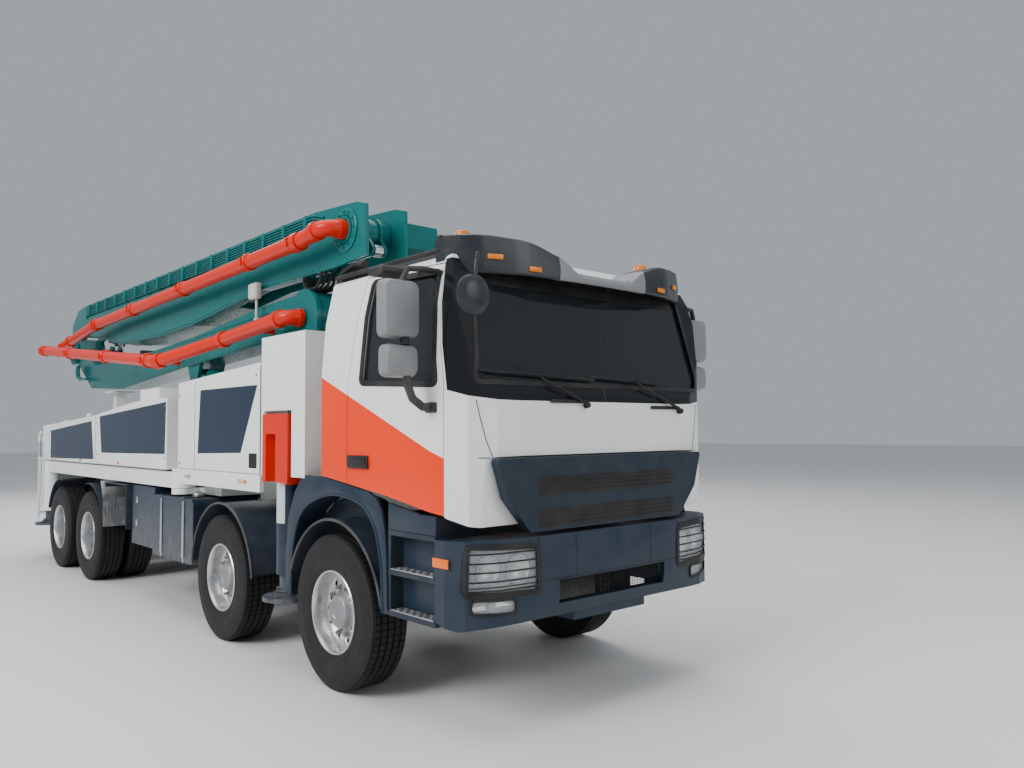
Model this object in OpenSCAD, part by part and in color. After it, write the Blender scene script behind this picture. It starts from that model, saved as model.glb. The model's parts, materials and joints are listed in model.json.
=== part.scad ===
// Concrete pump truck with a five-arm folding boom, parked with the boom stowed.
// Front is +X, left is +Y, up is +Z, millimetres, wheels stand on z = 0.
// Lengths along the truck count from the first axle; stage() moves them to the shared frame.

/* [Chassis] */
// distance from the first to the second steered axle
first_gap = 1950; // [1800:10:2050]
// distance from the first axle to the first drive axle
drive_x = 6050; // [5950:10:6150]
// distance between the two drive axles
tandem_gap = 1350; // [1300:10:1400]
// how far the truck reaches in front of the first axle
front_reach = 1640; // [1620:1:1700]
// how far the truck reaches behind the first axle
rear_reach = 9790; // [9790:10:9900]
// outer width over the frame rails
rail_span = 860; // [800:10:880]
// height of a frame rail
rail_h = 280; // [240:10:300]
// top of the frame rails
rail_top = 1060; // [1050:1:1065]

/* [Wheels] */
// tyre radius out to the tread
tyre_r = 542; // [530:1:548]
// tyre width
tyre_w = 305; // [290:1:310]
// rim radius under the bead
rim_r = 286; // [275:1:290]
// outer faces of the tyres, from the truck's middle
track_out = 1244; // [1230:1:1248]
// steering pin, from the truck's middle
king_y = 960; // [950:1:970]
// gap between the two tyres of a twin
twin_gap = 46; // [30:1:60]
// hand holes in a rim
hand_holes = 10; // [8:1:10]

/* [Cab] */
// back wall of the cab
cab_back = -150; // [-170:5:-140]
// top of the cab roof
cab_top = 2990; // [2960:5:3010]
// half width of the cab at the waist
cab_half = 1248; // [1220:1:1250]
// thickness of cab walls and doors
wall = 55; // [40:1:60]
// gap around doors and lids
panel_gap = 7; // [6:1:10]
// front edge of the doors, where they hang
door_front = 1300; // [1290:1:1310]

/* [Stands] */
// middle of the front legs
leg_x = -860; // [-880:5:-850]
// middle of the jacks, from the truck's middle
jack_y = 1120; // [1110:1:1130]
// radius of the jack's fixed tube
jack_r = 105; // [95:1:110]
// pivot of the rear swing legs
swing_x = -3230; // [-3260:5:-3200]
// jack of the rear swing legs
rear_jack_x = -8320; // [-8360:5:-8300]
// running gap of sliding and turning steel
slip = 5; // [5:1:8]

/* [Boom] */
// root pin of the boom, along the truck
p1_x = -1600; // [-1620:5:-1590]
// root pin height
p1_z = 2850; // [2840:5:2870]
// pin between the first and second arm
p2_x = -9350; // [-9370:5:-9300]
// height of that pin
p2_z = 3120; // [3100:5:3140]
// pin between the second and third arm
p3_x = -870; // [-890:5:-860]
// height of that pin
p3_z = 3530; // [3510:5:3540]
// pin between the third and fourth arm
p4_x = -9100; // [-9130:5:-9060]
// pin between the fourth and fifth arm
p5_x = -1000; // [-1050:5:-990]
// height of the last two pins
p45_z = 3470; // [3465:1:3480]
// tip of the fifth arm
tip_x = -8550; // [-8600:5:-8400]
// radius of the concrete pipes
pipe_r = 70; // [60:1:74]
// throw of the levers that turn the arms
throw = 230; // [220:1:235]
// height of the rods below the pins they turn
rod_drop = 175; // [170:1:180]

/* [Hopper] */
// front lip of the hopper
hop_front = -8620; // [-8640:5:-8600]
// height of the hopper's rim
hop_top = 1440; // [1400:5:1460]
// half width of the hopper
hop_half = 740; // [700:5:760]

/* [Hidden] */
mid_x = (front_reach - rear_reach) / 2;
rail_w = 80;
rail_end = hop_front + 60;
rail_in = rail_span / 2 - rail_w;
axle_1 = 0;
axle_2 = -first_gap;
axle_3 = -drive_x;
axle_4 = -drive_x - tandem_gap;
hub_z = tyre_r;
wheel_y = track_out - tyre_w / 2;
fit = 0.5;
$fn = 48;

// side, middle of the lane, width: the boom's arms lie side by side
lane_1 = [-410, 340];
lane_2 = [-410, 420];
lane_3 = [50, 340];
lane_4 = [460, 280];
lane_5 = [810, 220];
plate = 32;

color_teal = [0.03, 0.42, 0.40];
color_pipe = [0.90, 0.22, 0.08];
color_dark = [0.10, 0.14, 0.20];
color_white = [0.90, 0.91, 0.90];
color_black = [0.04, 0.04, 0.045];
color_steel = [0.75, 0.76, 0.78];
color_orange = [0.93, 0.25, 0.04];

module stage() {
  translate([-mid_x, 0, 0]) children();
}

module both() {
  children();
  mirror([0, 1, 0]) children();
}

module box(x0, x1, y0, y1, z0, z1) {
  translate([min(x0, x1), min(y0, y1), min(z0, z1)])
    cube([abs(x1 - x0), abs(y1 - y0), abs(z1 - z0)]);
}

// a side outline, given as x and z, with thickness from y0 to y1
module slab(y0, y1) {
  translate([0, max(y0, y1), 0]) rotate([90, 0, 0]) linear_extrude(abs(y1 - y0)) children();
}

module pin_y(x, z, r, y0, y1) {
  translate([x, max(y0, y1), z]) rotate([90, 0, 0]) cylinder(h = abs(y1 - y0), r = r);
}

module pin_x(y, z, r, x0, x1) {
  translate([min(x0, x1), y, z]) rotate([0, 90, 0]) cylinder(h = abs(x1 - x0), r = r);
}

module pin_z(x, y, r, z0, z1) {
  translate([x, y, min(z0, z1)]) cylinder(h = abs(z1 - z0), r = r);
}

function unit(v) = v / norm(v);
function side_of(z) = abs(z[1]) < 0.9 ? unit(cross([0, 1, 0], z)) : [1, 0, 0];

module placed(o, x, y, z) {
  multmatrix([[x[0], y[0], z[0], o[0]], [x[1], y[1], z[1], o[1]],
              [x[2], y[2], z[2], o[2]], [0, 0, 0, 1]]) children();
}

module bar(a, b, r) {
  z = unit(b - a);
  x = side_of(z);
  placed(a, x, cross(z, x), z) cylinder(h = norm(b - a), r = r);
}

function half_turn(p, a, b) = acos(unit(a - p) * unit(b - p)) / 2;
function cut_back(p, a, b, bend) = bend / tan(half_turn(p, a, b));

// a bend at p, on the way from a to b
module elbow(p, a, b, bend, r) {
  u = unit(a - p);
  v = unit(b - p);
  h = half_turn(p, a, b);
  c = p + unit(u + v) * bend / sin(h);
  s = p + u * bend / tan(h);
  x = unit(s - c);
  y = -u;
  placed(c, x, y, cross(x, y)) rotate_extrude(angle = 180 - 2 * h) translate([bend, 0]) circle(r);
}

// a pipe along points, with a collar at each joint of a bend and a straight
module pipe_run(pts, bend, r, collar = 14) {
  n = len(pts);
  for (i = [0 : n - 2]) {
    u = unit(pts[i + 1] - pts[i]);
    a = i == 0 ? pts[0] : pts[i] + u * cut_back(pts[i], pts[i - 1], pts[i + 1], bend);
    b = i == n - 2 ? pts[n - 1]
      : pts[i + 1] - u * cut_back(pts[i + 1], pts[i], pts[i + 2], bend);
    if (norm(b - a) > 1) bar(a, b, r);
    c = min(60, norm(b - a) - 1);
    k0 = i == 0 ? 0 : cut_back(pts[i], pts[i - 1], pts[i + 1], bend);
    k1 = i == n - 2 ? 0 : cut_back(pts[i + 1], pts[i], pts[i + 2], bend);
    if (k0 > 40 && c > 4) bar(a - u * 8, a + u * c, r + collar);
    if (k1 > 0 && c > 4) bar(b - u * c, b + u * (k1 > 40 ? 8 : 2 * k1 + 8), r + collar);
  }
  for (i = [1 : 1 : n - 2]) elbow(pts[i], pts[i - 1], pts[i + 1], bend, r);
}

// frame, axles and drive

module chassis_frame() color(color_dark) stage() {
  cross_x = [1210, -1250, -2450, -4300, -5250, -6725, -8150];
  both() box(rail_end, 1250, rail_in, rail_in + rail_w, rail_top - rail_h, rail_top);
  for (x = cross_x)
    box(x - 60, x + 60, -rail_in - 20, rail_in + 20, rail_top - rail_h + 30, rail_top - 30);
  both() box(1250, 1330, rail_in - 60, rail_in + rail_w, 640, rail_top);
  box(1255, 1325, -620, 620, 600, 660);
}

module axle_beam(x) {
  both() difference() {
    union() {
      pin_z(x, king_y, 48, hub_z - 70, hub_z + 70);
      slab(king_y - 90, king_y) translate([x - 40, hub_z - 60]) square([80, 110]);
      slab(king_y - 230, king_y - 60) translate([x - 45, hub_z - 130]) square([90, 130]);
    }
    pin_z(x, king_y, 20 + fit, hub_z - 90, hub_z + 90);
  }
  box(x - 50, x + 50, -king_y + 200, king_y - 200, hub_z - 140, hub_z - 30);
}

module leaf_pack(x, half, z) {
  for (i = [0 : 2])
    box(x - half + i * 120, x + half - i * 120, rail_in + 4, rail_in + 76, z + i * -22 - 22, z - i * 22);
}

module drive_axle(x) {
  pin_y(x, hub_z, 105, -560, 560);
  translate([x, 0, hub_z]) sphere(r = 225);
  pin_x(0, hub_z + 60, 62, x, x + 320);
  both() pin_y(x, hub_z, 45, 540, wheel_y - (tyre_w + twin_gap) / 2 + 110);
  both() box(x - 70, x + 70, rail_in, rail_in + 80, hub_z, hub_z + 130);
}

module axles() color(color_black) stage() {
  for (x = [axle_1, axle_2]) {
    axle_beam(x);
    both() {
      leaf_pack(x, 640, hub_z + 60);
      box(x - 60, x + 60, rail_in + 2, rail_in + 78, hub_z - 60, hub_z + 2);
      for (s = [-1, 1]) box(x + s * 610 - 30, x + s * 610 + 30, rail_in + 10, rail_in + 70,
        hub_z + 50, rail_top - rail_h);
    }
  }
  for (x = [axle_3, axle_4]) drive_axle(x);
  xm = (axle_3 + axle_4) / 2;
  both() {
    leaf_pack(xm, 690, hub_z + 175);
    box(xm - 80, xm + 80, rail_in + 4, rail_in + 76, hub_z + 90, rail_top - rail_h);
  }
}

module powertrain() color([0.25, 0.27, 0.28]) stage() {
  box(-180, 1080, -325, 325, 600, 1190);
  box(-1000, -180, -230, 230, 560, 980);
  pin_x(0, 700, 55, -2750, -1000);
  box(-3250, -2750, -200, 200, 520, 900);
  pin_x(0, hub_z + 60, 55, axle_3 + 320, -3250);
}

module side_tanks() color(color_dark) stage() {
  for (s = [-1, 1]) {
    slab(s * 560, s * 1215) offset(70) offset(-70) translate([-3720, 560]) square([1080, 620]);
    box(-4480, -3765, s * 640, s * 1190, 600, 1240);
    for (x = [-3480, -2880])
      slab(s * 560, s * 1221) difference() {
        translate([x - 22, 552]) square([44, 636]);
        translate([x - 30, 566]) square([60, 608]);
      }
    box(-3600, -2750, s * 430, s * 570, 900, 960);
    box(-4380, -3860, s * 430, s * 650, 900, 960);
  }
}

// wheels: radius, then distance out from the wheel's middle

module tyre_profile(w) {
  h = w / 2;
  polygon([[rim_r + 0.4, -h + 30], [rim_r + 30, -h + 12], [tyre_r - 130, -h], [tyre_r - 60, -h + 4],
    [tyre_r - 18, -h + 14], [tyre_r, -h + 34], [tyre_r, h - 34], [tyre_r - 18, h - 14],
    [tyre_r - 60, h - 4], [tyre_r - 130, h], [rim_r + 30, h - 12], [rim_r + 0.4, h - 30],
    [rim_r + 14, h - 60], [rim_r + 14, -h + 60]]);
}

module rim_bowl(w, face) {
  h = w / 2 - 30;
  polygon([[rim_r, -h + 2], [rim_r, -h - 14], [rim_r - 10, -h - 14], [rim_r - 24, -h + 16],
    [rim_r - 24, face - 12], [190, face + 20], [150, face + 34], [110, face + 34], [110, -60],
    [45.05, -60], [45.05, face + 70], [0, face + 70], [0, face + 96], [95, face + 96],
    [110, face + 60], [155, face + 46], [194, face + 32], [rim_r - 14, face + 2],
    [rim_r - 14, h - 12], [rim_r - 8, h + 14], [rim_r, h + 14]]);
}

module wheel_front(x, s) {
  translate([x, s * wheel_y, hub_z]) rotate([s < 0 ? 90 : -90, 0, 0]) {
    rotate_extrude($fn = 72) tyre_profile(tyre_w);
    difference() {
      rotate_extrude($fn = 72) rim_bowl(tyre_w, 20);
      for (i = [0 : hand_holes - 1]) rotate([0, 0, 360 * i / hand_holes])
        translate([222, 0, -20]) cylinder(h = 90, r = 24);
    }
  }
}

// outer wheel's bowl faces in, inner wheel's bowl faces out, one drum carries both
module twin_bowl(w, pitch) {
  h = w / 2 - 30;
  f = -pitch / 2;
  polygon([[rim_r, h + 14], [rim_r - 10, h + 14], [rim_r - 20, h - 12], [rim_r - 22, f + 26],
    [188, f + 14], [120, f + 14], [112, f + 150], [0, f + 150], [0, f + 120], [45.05, f + 120],
    [45.05, f - 150], [110, f - 150], [110, f - 14], [188, f - 14], [rim_r - 22, f - 26],
    [rim_r - 20, -pitch - h + 12], [rim_r - 10, -pitch - h - 14], [rim_r, -pitch - h - 14],
    [rim_r, -pitch - h + 2], [rim_r - 8, -pitch - h + 20], [rim_r - 8, h - 20], [rim_r, h - 2]]);
}

module wheel_twin(x, s) {
  pitch = tyre_w + twin_gap;
  translate([x, s * wheel_y, hub_z]) rotate([s < 0 ? 90 : -90, 0, 0]) {
    rotate_extrude($fn = 72) tyre_profile(tyre_w);
    translate([0, 0, -pitch]) rotate_extrude($fn = 72) tyre_profile(tyre_w);
    difference() {
      rotate_extrude($fn = 72) twin_bowl(tyre_w, pitch);
      for (i = [0 : hand_holes - 1]) rotate([0, 0, 360 * i / hand_holes])
        translate([222, 0, -pitch / 2 - 50]) cylinder(h = 100, r = 22);
    }
  }
}

module knuckle(x, s) color(color_black) stage() translate([x, s * king_y, hub_z]) {
  o = s;
  pin_z(0, 0, 20, -102, 102);
  pin_z(0, 0, 46, 76, 106);
  pin_z(0, 0, 46, -106, -76);
  box(-44, 44, 0, o * 64, 76, 106);
  box(-44, 44, 0, o * 64, -106, -76);
  box(-44, 44, o * 54, o * 66, -106, 106);
  pin_y(0, 0, 45, o * 60, o * (wheel_y - king_y + 66));
}

module knuckle_1r() knuckle(axle_1, -1);
module knuckle_1l() knuckle(axle_1, 1);
module knuckle_2r() knuckle(axle_2, -1);
module knuckle_2l() knuckle(axle_2, 1);
module wheel_1r() color(color_black) stage() wheel_front(axle_1, -1);
module wheel_1l() color(color_black) stage() wheel_front(axle_1, 1);
module wheel_2r() color(color_black) stage() wheel_front(axle_2, -1);
module wheel_2l() color(color_black) stage() wheel_front(axle_2, 1);
module wheel_3r() color(color_black) stage() wheel_twin(axle_3, -1);
module wheel_3l() color(color_black) stage() wheel_twin(axle_3, 1);
module wheel_4r() color(color_black) stage() wheel_twin(axle_4, -1);
module wheel_4l() color(color_black) stage() wheel_twin(axle_4, 1);

// arches and steps

module arch_band(x, a0, a1, r, y0, y1, t = 12) {
  slab(y0, y1) intersection() {
    translate([x, hub_z]) difference() {
      circle(r + t, $fn = 96);
      circle(r, $fn = 96);
    }
    translate([x, hub_z]) polygon([[0, 0], [1500 * cos(a0), 1500 * sin(a0)],
      [1500 * cos((a0 + a1) / 2), 1500 * sin((a0 + a1) / 2)], [1500 * cos(a1), 1500 * sin(a1)]]);
  }
}

module arches() color(color_black) stage() both() {
  arch_band(axle_1, 10, 172, 640, 700, 1235);
  arch_band(axle_2, 8, 172, 640, 700, 1235);
  arch_band(axle_3, 20, 100, 640, 640, 1235);
  arch_band(axle_4, 80, 160, 640, 640, 1235);
  box(-320, 250, 500, 760, 1200, 1215);
  box(-5350, -4560, 640, 1235, 1225, 1237);
  box(-5350, -5330, 640, 1235, 1180, 1237);
  box(-4572, -4560, 640, 1235, 740, 1225);
  for (t = [[690, 640, 30], [700, 900, 30], [710, 1150, 30]])
    box(t[0] + 20, 1225, 950, 1235, t[1], t[1] + t[2]);
  box(705, 735, 950, 1225, 640, 1290);
  box(1205, 1225, 950, 1225, 640, 1290);
  box(720, 1220, 950, 965, 640, 1290);
}

// cab

side_outline = [[cab_back, 1500], [cab_back, cab_top - 90], [cab_back + 70, cab_top],
  [1130, cab_top], [1270, cab_top - 80], [1330, 2790], [1478, 2090], [1500, 2040], [1506, 1660],
  [1466, 1650], [1452, 1240], [1290, 1310], [700, 1400]];
plan_half = [[cab_back, 1238], [1180, cab_half], [1330, 1222], [1430, 1140], [1490, 960], [1516, 600],
  [1522, 0]];
front_half = [[cab_half, 1200], [cab_half, 2120], [1205, 2600], [1140, 2890], [1050, cab_top + 5]];

function flip(p) = [for (i = [len(p) - 1 : -1 : 0]) [-p[i][0], p[i][1]]];
function flip_y(p) = [for (i = [len(p) - 1 : -1 : 0]) [p[i][0], -p[i][1]]];

module cab_solid(d) {
  intersection() {
    slab(-1400, 1400) offset(delta = -d) polygon(side_outline);
    translate([0, 0, 1000]) linear_extrude(2200) offset(delta = -d)
      polygon(concat(plan_half, flip_y(plan_half)));
    translate([-600, 0, 0]) rotate([90, 0, 90]) linear_extrude(2600) offset(delta = -d)
      polygon(concat(front_half, flip(front_half)));
  }
}

module door_outline() polygon([[215, 1250], [door_front, 1200], [door_front, 2110],
  [1222, 2850], [330, 2880], [215, 2000]]);
module door_window() offset(25) offset(-25) polygon([[400, 2150], [1232, 2105], [1178, 2800], [420, 2835]]);
module screen_outline() offset(40) offset(-40) polygon([[-1100, 2110], [1100, 2110], [1015, 2820], [-1015, 2820]]);

module screen_prism(x0, x1) {
  translate([x0, 0, 0]) rotate([90, 0, 90]) linear_extrude(x1 - x0) screen_outline();
}

module cab_shell() color(color_white) stage() difference() {
  cab_solid(0);
  cab_solid(wall);
  both() slab(1060, 1300) offset(delta = panel_gap) door_outline();
  screen_prism(1200, 1600);
  translate([cab_back - 50, 0, 0]) rotate([90, 0, 90]) linear_extrude(200)
    offset(40) offset(-40) translate([-750, 2250]) square([1500, 420]);
}

module cab_glass() color([0.1, 0.14, 0.16, 0.35]) stage() difference() {
  union() {
    intersection() {
      cab_solid(18);
      screen_prism(1200, 1600);
    }
    intersection() {
      cab_solid(18);
      translate([cab_back - 50, 0, 0]) rotate([90, 0, 90]) linear_extrude(200)
        offset(40) offset(-40) translate([-750, 2250]) square([1500, 420]);
    }
  }
  cab_solid(26);
}

module door(s) {
  difference() {
    intersection() {
      cab_solid(0);
      slab(s * 1060, s * 1300) door_outline();
    }
    cab_solid(wall);
    slab(s * 1000, s * 1300) door_window();
  }
  box(240, 500, s * (cab_half - 2), s * (cab_half + 10), 1590, 1650);
}

module door_glass(s) difference() {
  intersection() {
    cab_solid(18);
    slab(s * 1060, s * 1300) door_window();
  }
  cab_solid(24);
}

module mirror_set(s) difference() {
  union() {
    slab(s * 1350, s * 1590) offset(30) offset(-30) translate([1130, 2130]) square([110, 720]);
    bar([1200, s * 1440, 2800], [1200, s * 1140, 2770], 16);
    pipe_run([[1200, s * 1440, 2160], [1200, s * 1440, 1980], [1210, s * 1200, 1960]], 60, 17, 3);
    slab(s * 1300, s * 1500) offset(20) offset(-20) translate([880, 2770]) square([170, 60]);
    bar([960, s * 1400, 2810], [960, s * 1130, 2846], 13);
  }
  cab_solid(0);
}

module door_right() color(color_white) stage() door(-1);
module door_left() color(color_white) stage() door(1);
module door_glass_right() color([0.1, 0.14, 0.16, 0.35]) stage() door_glass(-1);
module door_glass_left() color([0.1, 0.14, 0.16, 0.35]) stage() door_glass(1);
module mirror_right() color(color_black) stage() mirror_set(-1);
module mirror_left() color(color_black) stage() mirror_set(1);

module cab_interior() color([0.16, 0.16, 0.17]) stage() intersection() {
  cab_solid(wall);
  cab_furniture();
}

module cab_furniture() {
  for (y = [-620, 620]) {
    box(80, 600, y - 260, y + 260, 1560, 1730);
    box(60, 200, y - 250, y + 250, 1730, 2380);
    box(150, 540, y - 120, y + 120, 1400, 1560);
  }
  box(1080, 1460, -1040, 1040, 1700, 2020);
  box(1140, 1440, -330, 330, 1300, 1700);
  translate([960, 620, 2010]) rotate([0, -58, 0]) rotate_extrude() translate([215, 0]) circle(16, $fn = 24);
  bar([960, 620, 2010], [1120, 620, 1910], 30);
  box(0, 1140, -260, 260, 1300, 1620);
}

module grille() color(color_dark) stage() difference() {
  translate([1478, 0, 0]) rotate([90, 0, 90]) linear_extrude(64)
    offset(20) offset(-20) polygon([[-1010, 1645], [-930, 1400], [-740, 1190], [740, 1190], [930, 1400], [1010, 1645]]);
  for (z = [1270, 1470]) translate([1510, 0, 0]) rotate([90, 0, 90]) linear_extrude(60)
    offset(15) offset(-15) translate([-660, z - 55]) square([1320, 110]);
}

bumper_plan = [[1240, 1246], [1330, 1246], [1440, 1180], [1520, 1000], [1565, 620], [1580, 0]];

module bumper_solid(d) intersection() {
  translate([0, 0, 600]) linear_extrude(620) offset(delta = -d)
    polygon(concat(bumper_plan, flip_y(bumper_plan)));
  slab(-1300, 1300) offset(delta = -d) polygon([[1200, 690], [1400, 640], [1540, 660], [1585, 900],
    [1560, 1165], [1200, 1165]]);
}

module headlamp_outline() offset(20) offset(-20) polygon([[690, 835], [1180, 850], [1170, 1130], [700, 1110]]);
module foglamp_outline() offset(15) offset(-15) polygon([[860, 725], [1150, 740], [1150, 820], [860, 810]]);

module front_prism() translate([1000, 0, 0]) rotate([90, 0, 90]) linear_extrude(700) children();

module bumper() color(color_dark) stage() {
  difference() {
    bumper_solid(0);
    bumper_solid(40);
    box(1000, 1285, -1180, 1180, 600, 1300);
    both() front_prism() headlamp_outline();
    both() front_prism() foglamp_outline();
    box(1450, 1700, -520, 520, 735, 880);
    box(1000, 1340, -640, 640, 600, 1300);
  }
  box(1330, 1520, -350, 350, 600, 690);
}

module lamps() color([0.9, 0.92, 0.95]) stage() {
  both() difference() {
    intersection() {
      bumper_solid(8);
      union() {
        front_prism() headlamp_outline();
        front_prism() foglamp_outline();
      }
    }
    bumper_solid(36);
  }
  both() box(-8580, -8550, 640, 960, 900, 1000);
  for (x = [-1550, -2700]) both() box(x - 45, x + 45, 1240, 1250, 1380, 1420);
}

module roof_visor() color(color_black) stage() {
  difference() {
    intersection() {
      translate([0, 0, 0]) slab(-1160, 1160)
        polygon([[1180, 3000], [1440, 2960], [1500, 2850], [1470, 2800], [1400, 2860], [1290, 2880]]);
      translate([-600, 0, 0]) rotate([90, 0, 90]) linear_extrude(2600)
        polygon([[-1160, 2780], [-1130, 3020], [1130, 3020], [1160, 2780]]);
    }
    cab_solid(-4);
    box(1300, 1600, -290, 290, 2700, 2900);
  }
  both() {
    pin_z(1080, 900, 55, cab_top, 3030);
    pin_z(1080, 900, 45, 3030, 3120);
  }
  bar([1440, -1080, 2870], [front_reach - 60, -1200, 2760], 14);
  translate([front_reach - 60, -1230, 2600]) rotate([0, 90, 0]) cylinder(h = 60, r = 120);
  bar([front_reach - 30, -1210, 2760], [front_reach - 30, -1225, 2680], 14);
}

// pump frame, deck, stands

module leg_house(z0, z1) difference() {
  box(leg_x - 125, leg_x + 125, -940, 940, z0 - 28, z1 + 28);
  box(leg_x - 90 - slip, leg_x + 90 + slip, -950, 950, z0 - slip, z1 + slip);
}

right_z = [1170, 1320];
left_z = [1380, 1530];

module pump_frame() color(color_white) stage() {
  both() box(-8500, -700, rail_in, rail_in + rail_w, rail_top, rail_top + 60);
  difference() {
    box(leg_x - 125, leg_x + 125, -940, 940, 1120, 1560);
    box(leg_x - 90 - slip, leg_x + 90 + slip, -950, 950, right_z[0] - slip, right_z[1] + slip);
    box(leg_x - 90 - slip, leg_x + 90 + slip, -950, 950, left_z[0] - slip, left_z[1] + slip);
  }
  box(-2600, -1400, -560, 560, 1120, 1360);
  box(-1400, leg_x - 125, -420, 420, 1120, 1480);
  pin_z(-2000, 0, 520, 1360, 1640);
  both() {
    box(-3340, -2600, 350, 960, 1200, 1257);
    box(-3340, -2600, 350, 960, 1427, 1457);
    pin_z(swing_x, 1090, 112, 1200, 1257);
    pin_z(swing_x, 1090, 112, 1427, 1457);
    box(-3340, -3120, 940, 1090, 1200, 1257);
    box(-3340, -3120, 940, 1090, 1427, 1457);
    box(-2990, -2600, 350, 960, 1257, 1427);
    pin_z(swing_x, 1090, 45, 1250, 1430);
  }
  for (x = [-4900, -6000, -7300, -8100]) box(x - 40, x + 40, -960, 960, 1390, 1436);
  for (x = [-4900, -6000, -7300, -8100]) both() box(x - 40, x + 40, 350, 430, rail_top, 1400);
  box(-7700, -7560, -480, -340, 1450, 2400);
  box(-7800, -7460, -560, -260, 2400, 2425);
  box(-7800, -7460, -560, -260, 1450, 1470);
}

module deck_panels() color(color_white) stage() {
  both() {
    // tower behind the cab
    difference() {
      box(-1140, -400, 1020, 1240, 1470, 2585);
      box(-1115, -425, 900, 1215, 1400, 2560);
      box(-1085, -615, 900, 1300, 1400, 1985);
    }
    // front fairing
    slab(1205, 1240) polygon([[-2990, 1470], [-1160, 1470], [-1160, 2380], [-2990, 2290]]);
    slab(1000, 1240) polygon([[-2990, 2270], [-1160, 2360], [-1160, 2390], [-2990, 2300]]);
    slab(1205, 1240) polygon([[-2990, 1325], [-1160, 1325], [-1160, 1470], [-2990, 1470]]);
    // rear fairing
    slab(1205, 1240) polygon([[-8380, 1450], [-3300, 1450], [-3300, 2170], [-4300, 2160],
      [-5900, 2030], [-8380, 1930]]);
    slab(1000, 1240) polygon([[-8380, 1910], [-5900, 2010], [-4300, 2140], [-3300, 2150],
      [-3300, 2170], [-4300, 2160], [-5900, 2030], [-8380, 1930]]);
    box(-8380, -8350, 1000, 1240, 1450, 1930);
    box(-3330, -3300, 1000, 1240, 1470, 2170);
    box(-4250, -3650, 1010, 1200, 2150, 2290);
    // ladder and rail at the back
    for (y = [800, 1180]) box(-8790, -8750, y, y + 30, 560, 1470);
    for (z = [620, 870, 1120, 1370]) box(-8790, -8750, 800, 1210, z, z + 30);
  }
  box(-8500, -3420, -1206, 1206, 1436, 1450);
  box(-8850, -8500, -1210, -780, 1436, 1450);
  box(-8850, -8500, 780, 1210, 1436, 1450);
  both() box(-8550, -8490, 640, 1210, 880, 1436);
  both() pipe_run([[-8820, 1190, 1450], [-8820, 1190, 1840], [-8560, 1190, 1840], [-8560, 1190, 1450]], 80, 17, 3);
}

module jack_tube(x, s, top) {
  difference() {
    pin_z(x, s * jack_y, jack_r, 700, top);
    pin_z(x, s * jack_y, jack_r - 22, 690, top - 40);
  }
}

module jack_rod(x, s, len_in) {
  pin_z(x, s * jack_y, jack_r - 22 - slip, 560, len_in);
  pin_z(x, s * jack_y, 120, 530, 560);
  pin_z(x, s * jack_y, 210, 500, 532);
}

module front_leg(s, zs) {
  jack_tube(leg_x, s, 1500);
  box(leg_x - 90, leg_x + 90, s * (jack_y - jack_r + 20), -s * 900, zs[0], zs[1]);
  difference() {
    box(leg_x - 210, leg_x + 225, s * 1000, s * 1262, 1420, 1960);
    box(leg_x - 150, leg_x + 20, s * 1180, s * 1300, 1380, 1800);
    box(leg_x - 180, leg_x + 195, s * 990, s * 1150, 1400, 1930);
  }
  pin_z(leg_x, s * (jack_y + 20), 70, 1400, 1880);
}

module rear_leg(s) {
  difference() {
    union() {
      box(rear_jack_x, swing_x, s * 1010, s * 1190, 1262, 1422);
      pin_z(swing_x, s * 1090, 115, 1262, 1422);
    }
    pin_z(swing_x, s * 1090, 45 + fit, 1200, 1500);
    pin_z(rear_jack_x, s * jack_y, jack_r - 10, 1200, 1500);
  }
  jack_tube(rear_jack_x, s, 1422);
}

module front_leg_right() color(color_dark) stage() front_leg(-1, right_z);
module front_leg_left() color(color_dark) stage() front_leg(1, left_z);
module front_jack_right() color(color_dark) stage() jack_rod(leg_x, -1, 1400);
module front_jack_left() color(color_dark) stage() jack_rod(leg_x, 1, 1400);
module rear_leg_right() color(color_white) stage() rear_leg(-1);
module rear_leg_left() color(color_white) stage() rear_leg(1);
module rear_jack_right() color(color_dark) stage() jack_rod(rear_jack_x, -1, 1360);
module rear_jack_left() color(color_dark) stage() jack_rod(rear_jack_x, 1, 1360);

// hopper and pump

module hopper() color(color_dark) stage() {
  rear = -rear_reach + 40;
  difference() {
    slab(-hop_half, hop_half) polygon([[hop_front, 800], [hop_front, hop_top], [rear, hop_top],
      [rear, 1200], [-9500, 640], [-8760, 640]]);
    slab(-hop_half + 20, hop_half - 20) polygon([[hop_front - 20, 812], [hop_front - 20, hop_top + 50],
      [rear + 20, hop_top + 50], [rear + 20, 1208], [-9490, 660], [-8768, 660]]);
  }
  difference() {
    box(rear - 40, hop_front, -hop_half - 30, hop_half + 30, hop_top - 40, hop_top);
    box(rear + 20, hop_front - 20, -hop_half + 20, hop_half - 20, hop_top - 80, hop_top + 50);
  }
  both() {
    pin_x(165, 1245, 105, -8600, -5900);
    pin_x(165, 1245, 70, -5700, -4300);
    box(hop_front, rail_end, 320, 460, rail_top - rail_h, rail_top + 60);
  }
  box(-5900, -5600, -330, 330, 1120, 1370);
  box(-8640, -8500, -330, 330, 1110, 1370);
}

module hopper_grate() color(color_black) stage() {
  rear = -rear_reach + 40;
  for (i = [0 : 12]) box(rear + 30, hop_front - 60, -690 + i * 115 - 6, -690 + i * 115 + 6, 1450, 1480);
  for (x = [rear + 30, -9200, hop_front - 75]) box(x, x + 20, -696, 696, 1448, 1482);
  both() box(hop_front - 75, hop_front - 20, 600, 640, 1455, 1480);
  both() pin_y(hop_front - 20, 1467, 16, 600, 640);
}

module agitator() color(color_steel) stage() {
  pin_y(-9180, 960, 28, -hop_half + 30, hop_half - 30);
  for (i = [-2 : 2]) translate([-9180, i * 260, 960]) rotate([0, 45 * i, 0]) box(-250, 250, -20, 20, -14, 14);
}

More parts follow.
